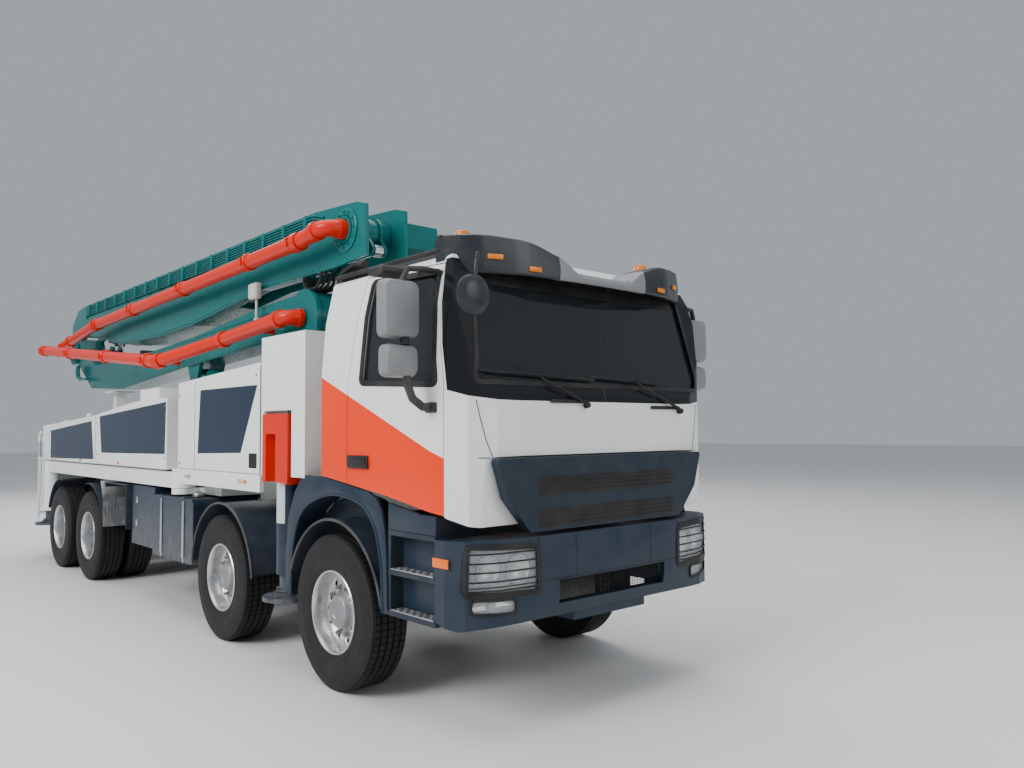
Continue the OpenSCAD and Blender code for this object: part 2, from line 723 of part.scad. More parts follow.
// boom

turret_pin = [-2350, 2150];
lift_pin = [-4400, 2480];

module turret() color(color_teal) stage() {
  pin_z(-2000, 0, 600, 1645, 1750);
  for (y = [-632, -220])
    slab(y - 2, y + plate + 6) difference() {
      union() {
        polygon([[-2560, 1750], [-1480, 1750], [-1330, 2800], [-1870, 2900], [-2250, 2420], [-2480, 2300]]);
        translate([p1_x, p1_z]) circle(270);
      }
      translate([p1_x, p1_z]) circle(80 + fit);
    }
  box(-1560, -1500, -600, -210, 1750, 2250);
  box(-2560, -2500, -600, -210, 1750, 2000);
  pin_y(turret_pin[0], turret_pin[1], 50, -600, -214);
}

module arm_end(x, z, r, lane) pin_y(x, z, r, lane[0] - lane[1] / 2, lane[0] + lane[1] / 2);

// hollow out the last stretch so that two plates are left
module fork_gap(x0, x1, lane) {
  box(x0, x1, lane[0] - lane[1] / 2 + plate, lane[0] + lane[1] / 2 - plate, 2000, 4200);
}

module ram_barrel(x0, x1, y, z, r) difference() {
  pin_x(y, z, r, x0, x1);
  pin_x(y, z, r - 38 + 2, min(x0, x1) + (x1 > x0 ? 60 : -1), max(x0, x1) - (x1 > x0 ? -1 : 60));
}

module ram_rod(x0, x1, y, z, r, eye) {
  pin_x(y, z, r, x0, x1);
  pin_y(x1, z, eye, y - 40, y + 40);
}

module lever(px, pz, dir, y) {
  for (e = [-1, 1]) slab(y + e * 48, y + e * 72) difference() {
    union() {
      translate([px, pz]) circle(140);
      hull_bar(px, pz, px + dir * sqrt(throw * throw - rod_drop * rod_drop), pz - rod_drop);
    }
    translate([px + dir * sqrt(throw * throw - rod_drop * rod_drop), pz - rod_drop]) circle(26);
  }
}

module hull_bar(x0, z0, x1, z1) {
  u = unit([x1 - x0, z1 - z0]);
  n = [-u[1], u[0]] * 55;
  polygon([[x0, z0] + n, [x1, z1] + n, [x1, z1] - n, [x0, z0] - n]);
  translate([x1, z1]) circle(55);
}

lever_dx = sqrt(throw * throw - rod_drop * rod_drop);

module arm_1() color(color_teal) stage() {
  difference() {
    union() {
      slab(-580, -240) polygon([[-1650, 2620], [-2420, 2700], [-4400, 2600], [-7000, 2430], [-8450, 2500], [-8700, 2640],
        [-9200, 2920], [-9300, 3330], [-8700, 2960], [-8300, 2840], [-6500, 2830], [-4300, 2930],
        [-2600, 3070], [-1650, 3100]]);
      arm_end(p1_x, p1_z, 250, lane_1);
      arm_end(p2_x, p2_z, 200, lane_1);
      for (y = [-560, -300]) slab(y, y + 40) polygon([[-4600, 2640], [-4500, 2420], [-4300, 2420], [-4200, 2640]]);
      box(-7300, -7200, -250, 110, 2880, 3010);
      box(-8560, -8500, -250, -100, 2860, 3010);
    }
    pin_y(p2_x, p2_z, 80 + fit, -700, 0);
  }
  both_ends(p1_x, p1_z, 80, -640, -190);
  ram_barrel(-7300, -8900, 20, p2_z - rod_drop, 75);
}

module both_ends(x, z, r, y0, y1) pin_y(x, z, r, y0, y1);

module arm_2() color(color_teal) stage() {
  difference() {
    union() {
      slab(-620, -200) polygon([[-9480, 3200], [-9420, 3560], [-9100, 3760], [-8700, 3790], [-1400, 3790],
        [-700, 3740], [-560, 3700], [-550, 3270], [-1000, 3240], [-2500, 3230], [-4300, 3060],
        [-5400, 3020], [-7000, 3060], [-8500, 3320], [-9100, 3330]]);
      arm_end(p2_x, p2_z, 210, lane_2);
    }
    fork_gap(-9900, -8950, lane_2);
    fork_gap(-1480, 0, lane_2);
    box(-3300, -1400, -510, -310, 3100, 3460);
    pin_y(p3_x, p3_z, 120 + slip, -700, -100);
  }
  pin_y(p2_x, p2_z, 80, -640, 100);
  lever(p2_x, p2_z, -1, 20);
  ram_barrel(-3100, -1480, -410, p3_z - rod_drop, 75);
  box(-3200, -3090, -520, -300, 3200, 3470);
}

module arm_3() color(color_teal) stage() {
  difference() {
    union() {
      slab(-120, 220) polygon([[p4_x - 180, 3300], [p4_x - 180, 3600], [p4_x + 300, 3690], [-1100, 3690],
        [-700, 3640], [-680, 3420], [-1100, 3240], [p4_x + 300, 3230]]);
      pin_y(p3_x, p3_z, 120, -645, 220);
    }
    fork_gap(p4_x - 300, p4_x + 600, lane_3);
    box(p4_x + 500, p4_x + 2400, -40, 140, 3100, 3370);
    pin_y(p3_x, p3_z, 90, -700, 0);
    pin_y(p4_x, p45_z, 70 + slip, -200, 300);
  }
  lever(p3_x, p3_z, 1, -410);
  ram_barrel(p4_x + 2200, p4_x + 600, 50, p45_z - rod_drop, 62);
  box(p4_x + 2190, p4_x + 2300, -50, 150, 3180, 3380);
}

module arm_4() color(color_teal) stage() {
  difference() {
    slab(320, 600) polygon([[p4_x - 170, 3330], [p4_x - 170, 3560], [p4_x + 200, 3640], [p5_x - 200, 3640],
      [p5_x + 170, 3560], [p5_x + 170, 3330], [p5_x - 300, 3250], [p4_x + 300, 3250]]);
    fork_gap(p5_x - 600, p5_x + 300, lane_4);
    box(p5_x - 2400, p5_x - 500, 390, 530, 3100, 3370);
    pin_y(p5_x, p45_z, 60 + slip, 200, 700);
  }
  pin_y(p4_x, p45_z, 70, -140, 340);
  lever(p4_x, p45_z, -1, 50);
  ram_barrel(p5_x - 2200, p5_x - 600, 460, p45_z - rod_drop, 58);
  box(p5_x - 2300, p5_x - 2190, 380, 540, 3180, 3380);
}

module arm_5() color(color_teal) stage() {
  slab(700, 920) polygon([[p5_x + 150, 3350], [p5_x + 150, 3540], [p5_x - 200, 3600], [tip_x + 100, 3600],
    [tip_x, 3560], [tip_x, 3360], [tip_x + 100, 3330], [p5_x - 300, 3270]]);
  pin_y(p5_x, p45_z, 60, 305, 720);
  lever(p5_x, p45_z, 1, 460);
}

module pipe_1() color(color_pipe) stage() {
  y1 = -800;
  y2 = -1070;
  pipe_run([[p1_x, -650, p1_z], [p1_x, y1, p1_z], [-3000, y1, 2760], [-4100, y2, 2600],
    [p2_x, y2, p2_z], [p2_x, -955, p2_z]], 110, pipe_r);
  for (x = [-2300, -4800, -6300]) {
    z = x > -4000 ? 2810 : p2_z + (x - p2_x) * (2600 - p2_z) / (-4100 - p2_x);
    box(x - 30, x + 30, x > -4000 ? y1 : y2, -580, z - 40, z + 10);
  }
}

module pipe_2() color(color_pipe) stage() {
  y = -820;
  pipe_run([[p2_x, -950, p2_z], [p2_x, y, p2_z + 2], [-8700, y, 3230], [-7400, y, 3350], [-1300, y, 3480],
    [p3_x, y, p3_z], [p3_x, -600, p3_z]], 120, pipe_r);
}

module top_pipe(y, xa, xb, z) {
  pipe_run([[xa, y, z - 100], [xa, y, z], [xb, y, z], [xb, y, z - 100]], 90, pipe_r, 10);
  for (f = [0.15, 0.5, 0.85]) box(xa + (xb - xa) * f - 25, xa + (xb - xa) * f + 25, y - 60, y + 60, z - 100, z);
}

module pipe_3() color(color_pipe) stage() top_pipe(50, -1300, p4_x + 700, 3790);
module pipe_4() color(color_pipe) stage() top_pipe(460, p4_x + 300, p5_x - 700, 3740);
module pipe_5() color(color_pipe) stage() {
  y = lane_5[0];
  xa = p5_x - 300;
  xb = tip_x - 190;
  pipe_run([[xa, y, 3600], [xa, y, 3700], [xb, y, 3700], [xb, y, 3330]], 90, pipe_r, 10);
  for (f = [0.15, 0.5, 0.85]) box(xa + (xb - xa) * f - 25, xa + (xb - xa) * f + 25, y - 60, y + 60, 3600, 3700);
}

module lift_barrel() color(color_teal) stage() {
  u = unit(lift_pin - turret_pin);
  a = [turret_pin[0], -410, turret_pin[1]];
  v = [u[0], 0, u[1]];
  difference() {
    union() {
      pin_y(turret_pin[0], turret_pin[1], 95, -480, -340);
      bar(a + v * 60, a + v * 1850, 105);
    }
    pin_y(turret_pin[0], turret_pin[1], 50 + fit, -500, -300);
    bar(a + v * 220, a + v * 1900, 72);
  }
}

module lift_rod() color(color_steel) stage() {
  u = unit(lift_pin - turret_pin);
  a = [turret_pin[0], -410, turret_pin[1]];
  b = [lift_pin[0], -410, lift_pin[1]];
  v = [u[0], 0, u[1]];
  bar(a + v * 260, b, 70);
  pin_y(lift_pin[0], lift_pin[1], 85, -512, -308);
}

module rod_2() color(color_steel) stage() ram_rod(-7700, p2_x - lever_dx, 20, p2_z - rod_drop, 38, 55);
module rod_3() color(color_steel) stage() ram_rod(-2700, p3_x + lever_dx, -410, p3_z - rod_drop, 38, 55);
module rod_4() color(color_steel) stage() ram_rod(p4_x + 1800, p4_x - lever_dx, 50, p45_z - rod_drop, 25, 50);
module rod_5() color(color_steel) stage() ram_rod(p5_x - 1800, p5_x + lever_dx, 460, p45_z - rod_drop, 21, 50);

chassis_frame();
axles();
powertrain();
side_tanks();
arches();
bumper();
lamps();
grille();
cab_shell();
cab_glass();
cab_interior();
roof_visor();
door_right();
door_left();
door_glass_right();
door_glass_left();
mirror_right();
mirror_left();
knuckle_1r();
knuckle_1l();
knuckle_2r();
knuckle_2l();
wheel_1r();
wheel_1l();
wheel_2r();
wheel_2l();
wheel_3r();
wheel_3l();
wheel_4r();
wheel_4l();
pump_frame();
deck_panels();
front_leg_right();
front_leg_left();
front_jack_right();
front_jack_left();
rear_leg_right();
rear_leg_left();
rear_jack_right();
rear_jack_left();
hopper();
hopper_grate();
agitator();
turret();
arm_1();
arm_2();
arm_3();
arm_4();
arm_5();
pipe_1();
pipe_2();
pipe_3();
pipe_4();
pipe_5();
lift_barrel();
lift_rod();
rod_2();
rod_3();
rod_4();
rod_5();
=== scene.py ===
"""Looks of the concrete pump truck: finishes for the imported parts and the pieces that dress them."""

import enum
import json
import logging
import math
from dataclasses import dataclass, field

import bmesh
import bpy
from mathutils import Matrix, Vector


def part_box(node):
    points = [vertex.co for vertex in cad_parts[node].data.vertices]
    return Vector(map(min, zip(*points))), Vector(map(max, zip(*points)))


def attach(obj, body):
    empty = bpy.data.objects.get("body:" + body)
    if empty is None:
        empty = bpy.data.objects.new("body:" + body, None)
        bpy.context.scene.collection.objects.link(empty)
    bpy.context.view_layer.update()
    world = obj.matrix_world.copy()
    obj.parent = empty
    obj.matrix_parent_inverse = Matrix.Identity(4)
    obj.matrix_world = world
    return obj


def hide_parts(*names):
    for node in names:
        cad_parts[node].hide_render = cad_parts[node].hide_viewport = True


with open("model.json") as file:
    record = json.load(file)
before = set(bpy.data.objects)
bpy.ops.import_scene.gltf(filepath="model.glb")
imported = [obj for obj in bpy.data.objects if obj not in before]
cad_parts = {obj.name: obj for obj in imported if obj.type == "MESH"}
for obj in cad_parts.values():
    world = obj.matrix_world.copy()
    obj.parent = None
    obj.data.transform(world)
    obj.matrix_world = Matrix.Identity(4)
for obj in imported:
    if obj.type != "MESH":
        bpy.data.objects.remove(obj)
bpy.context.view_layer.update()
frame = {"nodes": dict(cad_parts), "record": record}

LOG = logging.getLogger("pump_truck")
AXLE_1 = 4.075
MM = 0.001

Rgb = tuple[float, float, float]
Outline = list[tuple[float, float]]
Corners = tuple[tuple[float, float], ...]
Spots = tuple[tuple[float, float, float], ...]
UP = Vector((0.0, 0.0, 1.0))
OUT_RIGHT = Vector((0.0, -1.0, 0.0))
HUB_HEIGHT = 542.0
ARCH_RADIUS = 652.0
ROAD_DUST: Rgb = (0.33, 0.29, 0.24)
FINE_DUST: Rgb = (0.30, 0.28, 0.25)
RUST_BROWN: Rgb = (0.20, 0.17, 0.14)
TREAD_DUST: Rgb = (0.21, 0.18, 0.145)


class Side(enum.Enum):
    """The truck's two sides, as the sign of Y."""

    RIGHT = -1
    LEFT = 1

    @property
    def tag(self) -> str:
        """Name of the side in piece names."""
        return self.name.lower()


def opaque(colour):
    """A colour with its alpha of 1, or the socket it comes from."""
    return (*colour, 1.0) if isinstance(colour, tuple) else colour


class Graph:
    """A material's node tree with short calls for the nodes that the finishes share."""

    def __init__(self, name: str) -> None:
        """Starts an empty material called name."""
        self.material = bpy.data.materials.new(name)
        self.material.use_nodes = True
        self.tree = self.material.node_tree
        self.tree.nodes.clear()
        self.output = self.node("OutputMaterial")
        self.coords = self.node("TexCoord").outputs["Object"]
        self.x, self.y, self.z = self.node("SeparateXYZ", Vector=self.coords).outputs

    def link(self, a, b) -> None:
        """Joins socket a to socket b, or sets b to the value a."""
        if isinstance(a, bpy.types.NodeSocket):
            self.tree.links.new(a, b)
        else:
            b.default_value = a

    def node(self, kind: str, **values):
        """A new shader node with values or sockets on its inputs, by name with _ for a space."""
        node = self.tree.nodes.new(f"ShaderNode{kind}")
        for key, value in values.items():
            self.link(value, node.inputs[key.replace("_", " ")])
        return node

    def math(self, kind: str, a, b=0.0, c=0.0):
        """One Math node.

        Args:
            kind: the node's operation.
            a, b, c: numbers or sockets.

        Returns:
            The node's output socket.
        """
        node = self.node("Math")
        node.operation = kind
        for value, socket in zip((a, b, c), node.inputs):
            self.link(value, socket)
        return node.outputs[0]

    def step(self, value, edge: float, soft: float):
        """Rises from 0 to 1 as value passes edge, over soft."""
        node = self.node("MapRange", Value=value, From_Min=edge - soft / 2, From_Max=edge + soft / 2)
        node.interpolation_type = "SMOOTHSTEP"
        return node.outputs["Result"]

    def noise(self, scale: float, detail: float = 3.0, rough: float = 0.5, stretch=(1.0, 1.0, 1.0)):
        """A noise texture on the object's coordinates.

        Args:
            scale: size of the pattern, per metre.
            detail: octaves.
            rough: weight of the finer octaves.
            stretch: factors on the three coordinates.

        Returns:
            The noise's factor socket.
        """
        mapping = self.node("Mapping", Vector=self.coords, Scale=stretch)
        node = self.node("TexNoise", Vector=mapping.outputs[0], Scale=scale, Detail=detail, Roughness=rough)
        return node.outputs["Fac"]

    def mix(self, factor, a, b):
        """Mixes the colours a and b by factor."""
        node = self.node("Mix")
        node.data_type = "RGBA"
        self.link(factor, node.inputs["Factor"])
        for value, key in ((a, 6), (b, 7)):
            self.link(opaque(value), node.inputs[key])
        return node.outputs[2]

    def ramp(self, value, low: float, high: float):
        """Stretches value so that low becomes 0 and high becomes 1."""
        return self.node("MapRange", Value=value, From_Min=low, From_Max=high).outputs["Result"]

    def scaled(self, value, low: float, high: float):
        """Maps value from 0..1 to low..high."""
        return self.node("MapRange", Value=value, To_Min=low, To_Max=high).outputs["Result"]

    def bump(self, height, distance: float, strength: float = 1.0):
        """A bump normal from height, with its depth in metres."""
        return self.node("Bump", Distance=distance, Strength=strength, Height=height).outputs[0]

    def surface(self, colour, roughness, normal=None, **values: float):
        """The shader itself, joined to the output.

        Args:
            colour: base colour, as a tuple or a socket.
            roughness: number or socket.
            normal: socket of a bump, or None.
            values: constants set straight on the shader's sockets, with _ for a space.

        Returns:
            The shader node.
        """
        node = self.node("BsdfPrincipled", Base_Color=opaque(colour), Roughness=roughness, **values)
        if normal is not None:
            self.link(normal, node.inputs["Normal"])
        self.link(node.outputs[0], self.output.inputs["Surface"])
        return node


@dataclass(frozen=True)
class Region:
    """A painted region seen from the side: a closed outline of half planes in X and Z, in metres."""

    colour: Rgb
    edges: tuple[tuple[float, float, float, float], ...]
    beyond_y: float = 0.0

    def mask(self, g: Graph):
        """Where the region is 1.

        Args:
            g: the material's graph.

        Returns:
            A socket of 0 to 1.
        """
        total = g.step(g.math("ABSOLUTE", g.y), self.beyond_y, 0.002)
        for x0, z0, x1, z1 in self.edges:
            nx, nz = z1 - z0, x0 - x1
            size = math.hypot(nx, nz)
            nx, nz = nx / size, nz / size
            along = g.math("ADD", g.math("MULTIPLY", g.x, nx), g.math("MULTIPLY", g.z, nz))
            total = g.math("MULTIPLY", total, g.step(along, nx * x0 + nz * z0, 0.002))
        return total


def outline_region(colour: Rgb, points: Outline, beyond_y: float = 0.0) -> Region:
    """A region from its corners, counted clockwise as seen with X to the right.

    Args:
        colour: paint of the region.
        points: corners as X from the first axle and Z, in metres.
        beyond_y: the region holds only farther than this from the middle.

    Returns:
        The region.
    """
    rows = [(x + AXLE_1, z) for x, z in points]
    edges = tuple((*rows[i], *rows[(i + 1) % len(rows)]) for i in range(len(rows)))
    return Region(colour, edges, beyond_y)


@dataclass(frozen=True)
class Paint:
    """Gloss vehicle paint with a faint orange peel, road dust low down and fine scuffs."""

    name: str
    colour: Rgb
    roughness: float = 0.28
    dust: float = 0.35
    dust_top: float = 1.3
    coat: float = 0.35
    regions: tuple[Region, ...] = ()

    def make(self) -> bpy.types.Material:
        """Builds the material."""
        g = Graph(self.name)
        colour = self.colour
        for region in self.regions:
            colour = g.mix(region.mask(g), colour, region.colour)
        cloud = g.noise(1.7, 4.0, 0.6)
        shade = g.scaled(cloud, 0.90, 1.06)
        tone = g.node("HueSaturation", Value=shade, Color=opaque(colour))
        low = g.math("SUBTRACT", 1.0, g.ramp(g.z, 0.15, self.dust_top))
        low = g.math("MAXIMUM", low, 0.0)
        speck = g.ramp(g.noise(9.0, 6.0, 0.7), 0.38, 0.75)
        dirt = g.math("MULTIPLY", g.math("MULTIPLY", low, speck), self.dust)
        dusty = g.mix(dirt, tone.outputs[0], ROAD_DUST)
        scuff = g.ramp(g.noise(34.0, 5.0, 0.65, (1.0, 1.0, 4.0)), 0.5, 0.85)
        rough = g.math("ADD", g.math("MULTIPLY", scuff, 0.12), self.roughness)
        rough = g.math("ADD", rough, g.math("MULTIPLY", dirt, 0.45))
        peel = g.bump(g.noise(140.0, 2.0, 0.4), 0.0006, 0.12)
        g.surface(dusty, rough, peel, Specular_IOR_Level=0.22, Coat_Weight=self.coat * 0.2,
                  Coat_Roughness=0.10)
        return g.material


@dataclass(frozen=True)
class Plastic:
    """Moulded plastic with a fine grain and dust in its hollows."""

    name: str
    colour: Rgb
    roughness: float = 0.55
    grain: float = 420.0
    dust: float = 0.25

    def make(self) -> bpy.types.Material:
        """Builds the material."""
        g = Graph(self.name)
        cloud = g.ramp(g.noise(5.0, 4.0, 0.6), 0.35, 0.8)
        colour = g.mix(g.math("MULTIPLY", cloud, self.dust), self.colour, FINE_DUST)
        rough = g.math("ADD", g.math("MULTIPLY", cloud, 0.15), self.roughness)
        bump = g.bump(g.noise(self.grain, 3.0, 0.6), 0.0008, 0.35)
        g.surface(colour, rough, bump, Specular_IOR_Level=0.3)
        return g.material


@dataclass(frozen=True)
class Metal:
    """Bare or plated steel with brushed or worn roughness."""

    name: str
    colour: Rgb
    roughness: float = 0.3
    wear: float = 0.25
    metallic: float = 1.0

    def make(self) -> bpy.types.Material:
        """Builds the material."""
        g = Graph(self.name)
        cloud = g.ramp(g.noise(14.0, 6.0, 0.7), 0.35, 0.75)
        colour = g.mix(g.math("MULTIPLY", cloud, self.wear), self.colour, RUST_BROWN)
        rough = g.math("ADD", g.math("MULTIPLY", cloud, 0.25), self.roughness)
        bump = g.bump(g.noise(260.0, 2.0, 0.5), 0.0004, 0.2)
        g.surface(colour, rough, bump, Metallic=self.metallic)
        return g.material


@dataclass(frozen=True)
class Rubber:
    """Tyre rubber, greyed by dust on the tread and shoulders."""

    name: str
    colour: Rgb = (0.011, 0.011, 0.012)
    dust: float = 0.16

    def make(self) -> bpy.types.Material:
        """Builds the material."""
        g = Graph(self.name)
        cloud = g.ramp(g.noise(7.0, 6.0, 0.7), 0.40, 0.78)
        fine = g.ramp(g.noise(60.0, 4.0, 0.7), 0.35, 0.8)
        mask = g.math("MULTIPLY", g.math("MULTIPLY", cloud, fine), self.dust)
        colour = g.mix(mask, self.colour, TREAD_DUST)
        rough = g.math("ADD", g.math("MULTIPLY", mask, 0.3), 0.62)
        bump = g.bump(g.noise(180.0, 3.0, 0.6), 0.0012, 0.4)
        g.surface(colour, rough, bump, Specular_IOR_Level=0.25)
        return g.material


@dataclass(frozen=True)
class Glass:
    """Tinted safety glass."""

    name: str
    tint: Rgb = (0.012, 0.016, 0.018)
    alpha: float = 0.72

    def make(self) -> bpy.types.Material:
        """Builds the material."""
        g = Graph(self.name)
        smear = g.ramp(g.noise(3.0, 5.0, 0.7), 0.45, 0.85)
        rough = g.math("ADD", g.math("MULTIPLY", smear, 0.05), 0.02)
        g.surface(self.tint, rough, None, Alpha=self.alpha, Specular_IOR_Level=0.6, IOR=1.52)
        return g.material


TEAL: Rgb = (0.000, 0.130, 0.128)
ORANGE: Rgb = (0.88, 0.040, 0.000)
ORANGE_RED: Rgb = (0.66, 0.016, 0.002)
WHITE: Rgb = (0.80, 0.815, 0.80)
NAVY: Rgb = (0.012, 0.024, 0.048)
BLUE_GREY: Rgb = (0.014, 0.027, 0.048)

BLACK: Rgb = (0.008, 0.009, 0.011)
CAB_BAND = outline_region(ORANGE, [(-0.40, 2.305), (1.300, 1.652), (1.300, 1.0), (-0.40, 1.0)], 1.10)
SCREEN_BAND = outline_region(BLACK, [(1.225, 2.880), (1.700, 2.880), (1.700, 1.930), (1.330, 2.060)])
ROOF_BAND = outline_region(BLACK, [(-0.140, 2.984), (1.330, 2.984), (1.330, 2.905), (-0.140, 2.905)], 0.98)
PUMP_PANEL = outline_region(NAVY, [(-2.435, 2.21), (-1.217, 2.206), (-1.533, 1.64), (-2.49, 1.62)], 1.23)
WINDOW = outline_region(BLACK, [(-1.374, 1.641), (-1.218, 1.641), (-1.218, 1.517), (-1.374, 1.517)], 1.23)
REAR_PANEL_1 = outline_region(NAVY, [(-5.61, 2.02), (-3.33, 2.13), (-3.35, 1.60), (-5.51, 1.58)], 1.17)
REAR_PANEL_2 = outline_region(NAVY, [(-7.94, 1.86), (-5.94, 1.97), (-5.83, 1.495), (-7.93, 1.47)], 1.17)
JACK_COVER = outline_region(ORANGE_RED, [(-1.2, 2.2), (-0.5, 2.2), (-0.5, 1.40), (-1.2, 1.40)], 0.9)
STICKER = outline_region((0.55, 0.60, 0.62),
                         [(-0.93, 1.42), (-0.79, 1.42), (-0.79, 1.10), (-0.93, 1.10)], 1.20)

FINISHES = {finish.name: finish for finish in (
    Paint("frame_paint", BLUE_GREY, 0.35, 0.6),
    Paint("axle_black", (0.008, 0.008, 0.009), 0.5, 0.35),
    Metal("engine_iron", (0.12, 0.13, 0.135), 0.6, 0.5, 0.2),
    Plastic("step_plastic", (0.012, 0.021, 0.036), 0.5, 420.0, 0.10),
    Plastic("bumper_blue", (0.012, 0.024, 0.042), 0.38, 300.0, 0.06),
    Plastic("grille_blue", (0.010, 0.019, 0.033), 0.38, 300.0, 0.05),
    Glass("lamp_clear", (0.9, 0.93, 0.95), 0.25),
    Paint("cab_white", WHITE, 0.22, 0.12, 1.6, 0.6, (CAB_BAND, SCREEN_BAND, ROOF_BAND)),
    Paint("door_paint", WHITE, 0.22, 0.12, 1.6, 0.6, (CAB_BAND,)),
    Glass("window_glass"),
    Plastic("cab_trim", (0.05, 0.05, 0.054), 0.6),
    Plastic("visor_paint", (0.02, 0.024, 0.03), 0.22, 200.0, 0.05),
    Plastic("mirror_black", (0.014, 0.015, 0.017), 0.45),
    Rubber("tyre_rubber"),
    Paint("frame_white", WHITE, 0.3, 0.5),
    Paint("deck_white", WHITE, 0.26, 0.2, 1.7, 0.4,
          (PUMP_PANEL, WINDOW, REAR_PANEL_1, REAR_PANEL_2)),
    Paint("leg_paint", BLUE_GREY, 0.3, 0.25, 1.2, 0.4, (JACK_COVER, STICKER)),
    Paint("jack_steel", (0.03, 0.045, 0.07), 0.35, 0.6),
    Paint("grate_black", (0.015, 0.015, 0.017), 0.5, 0.5),
    Metal("worn_steel", (0.42, 0.41, 0.39), 0.4, 0.4),
    Paint("boom_teal", TEAL, 0.25, 0.2, 2.5, 0.5),
    Paint("pipe_orange", ORANGE_RED, 0.3, 0.2, 2.5, 0.4),
    Metal("rod_chrome", (0.72, 0.73, 0.74), 0.08, 0.08),
    Metal("rim_silver", (0.70, 0.71, 0.72), 0.24, 0.30),
    Metal("steel_bright", (0.6, 0.6, 0.6), 0.3, 0.15),
    Plastic("rubber_black", (0.008, 0.008, 0.009), 0.5, 500.0, 0.1),
    Metal("mirror_face", (0.85, 0.87, 0.88), 0.02, 0.0),
    Metal("hub_grey", (0.30, 0.31, 0.32), 0.42, 0.35, 0.7),
    Plastic("mirror_grey", (0.20, 0.205, 0.21), 0.35, 300.0, 0.1),
    Plastic("seat_cloth", (0.05, 0.055, 0.065), 0.9, 900.0, 0.1),
    Plastic("edge_rubber", (0.035, 0.04, 0.045), 0.4, 300.0, 0.2),
    Plastic("marker_orange", (0.85, 0.16, 0.01), 0.2, 300.0, 0.0),
    Plastic("cream_plastic", (0.62, 0.60, 0.53), 0.4, 300.0, 0.15),
    Plastic("seam_grey", (0.16, 0.16, 0.165), 0.6, 300.0, 0.3),
    Plastic("beacon_amber", (0.72, 0.20, 0.008), 0.15, 200.0, 0.0),
    Plastic("reflector_red", (0.5, 0.012, 0.01), 0.18, 300.0, 0.0),
)}
NODE_FINISH = {"front_leg_right": "leg_paint", "front_leg_left": "leg_paint"}


class FinishBook:
    """Makes each finish once and hands it out."""

    def __init__(self) -> None:
        """Starts with no material made."""
        self.made: dict[str, bpy.types.Material] = {}

    def get(self, name: str) -> bpy.types.Material:
        """The material of that finish."""
        if name not in self.made:
            self.made[name] = FINISHES[name].make()
        return self.made[name]


BOOK = FinishBook()


def dress_nodes() -> None:
    """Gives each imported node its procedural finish."""
    record = frame["record"]
    slots = {row["node"]: row["material_slot"] for row in record["subparts"]}
    for name, obj in frame["nodes"].items():
        finish = NODE_FINISH.get(name, slots.get(name, "frame_paint"))
        obj.data.materials.clear()
        obj.data.materials.append(BOOK.get(finish))


def placed(name: str, data) -> bpy.types.Object:
    """A new object in the scene that shows data."""
    obj = bpy.data.objects.new(name, data)
    bpy.context.scene.collection.objects.link(obj)
    return obj


def piece(name: str, bm: bmesh.types.BMesh, finish: str, body: str,
          smooth: float = 35.0) -> bpy.types.Object:
    """Turns a bmesh into a finished piece on a body.

    Args:
        name: the piece's name.
        bm: its shape, in the row frame. It is freed.
        finish: name of its finish.
        body: the CAD body it moves with.
        smooth: angle under which its faces shade smoothly, in degrees.

    Returns:
        The object.
    """
    mesh = bpy.data.meshes.new(name)
    bmesh.ops.recalc_face_normals(bm, faces=bm.faces)
    bm.to_mesh(mesh)
    bm.free()
    mesh.materials.append(BOOK.get(finish))
    mesh.shade_smooth()
    mesh.set_sharp_from_angle(angle=math.radians(smooth))
    obj = placed(name, mesh)
    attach(obj, body)
    return obj


def at(x: float, y: float, z: float) -> Vector:
    """A point from millimetres counted from the first axle, in the row frame."""
    return Vector((x * MM + AXLE_1, y * MM, z * MM))


def in_metres(rows: Outline | Corners) -> Outline:
    """Rows of radius and distance, from millimetres to metres."""
    return [(r * MM, h * MM) for r, h in rows]


def spoke(angle: float) -> Vector:
    """A unit vector at that angle round Z, in radians from X."""
    return Vector((math.cos(angle), math.sin(angle), 0.0))


def frame_along(direction: Vector) -> Matrix:
    """A rotation whose Z looks along direction, with X level where it can be."""
    z = direction.normalized()
    lead = Vector((0.0, 1.0, 0.0)) if abs(z.y) < 0.9 else Vector((1.0, 0.0, 0.0))
    x = lead.cross(z).normalized()
    return Matrix((x, z.cross(x), z)).transposed()


def vertices(geom: list) -> list:
    """The vertices among the parts of a bmesh."""
    return [v for v in geom if isinstance(v, bmesh.types.BMVert)]


def edges_of(verts: list) -> list:
    """The edges that touch those vertices."""
    return list({e for v in verts for e in v.link_edges})


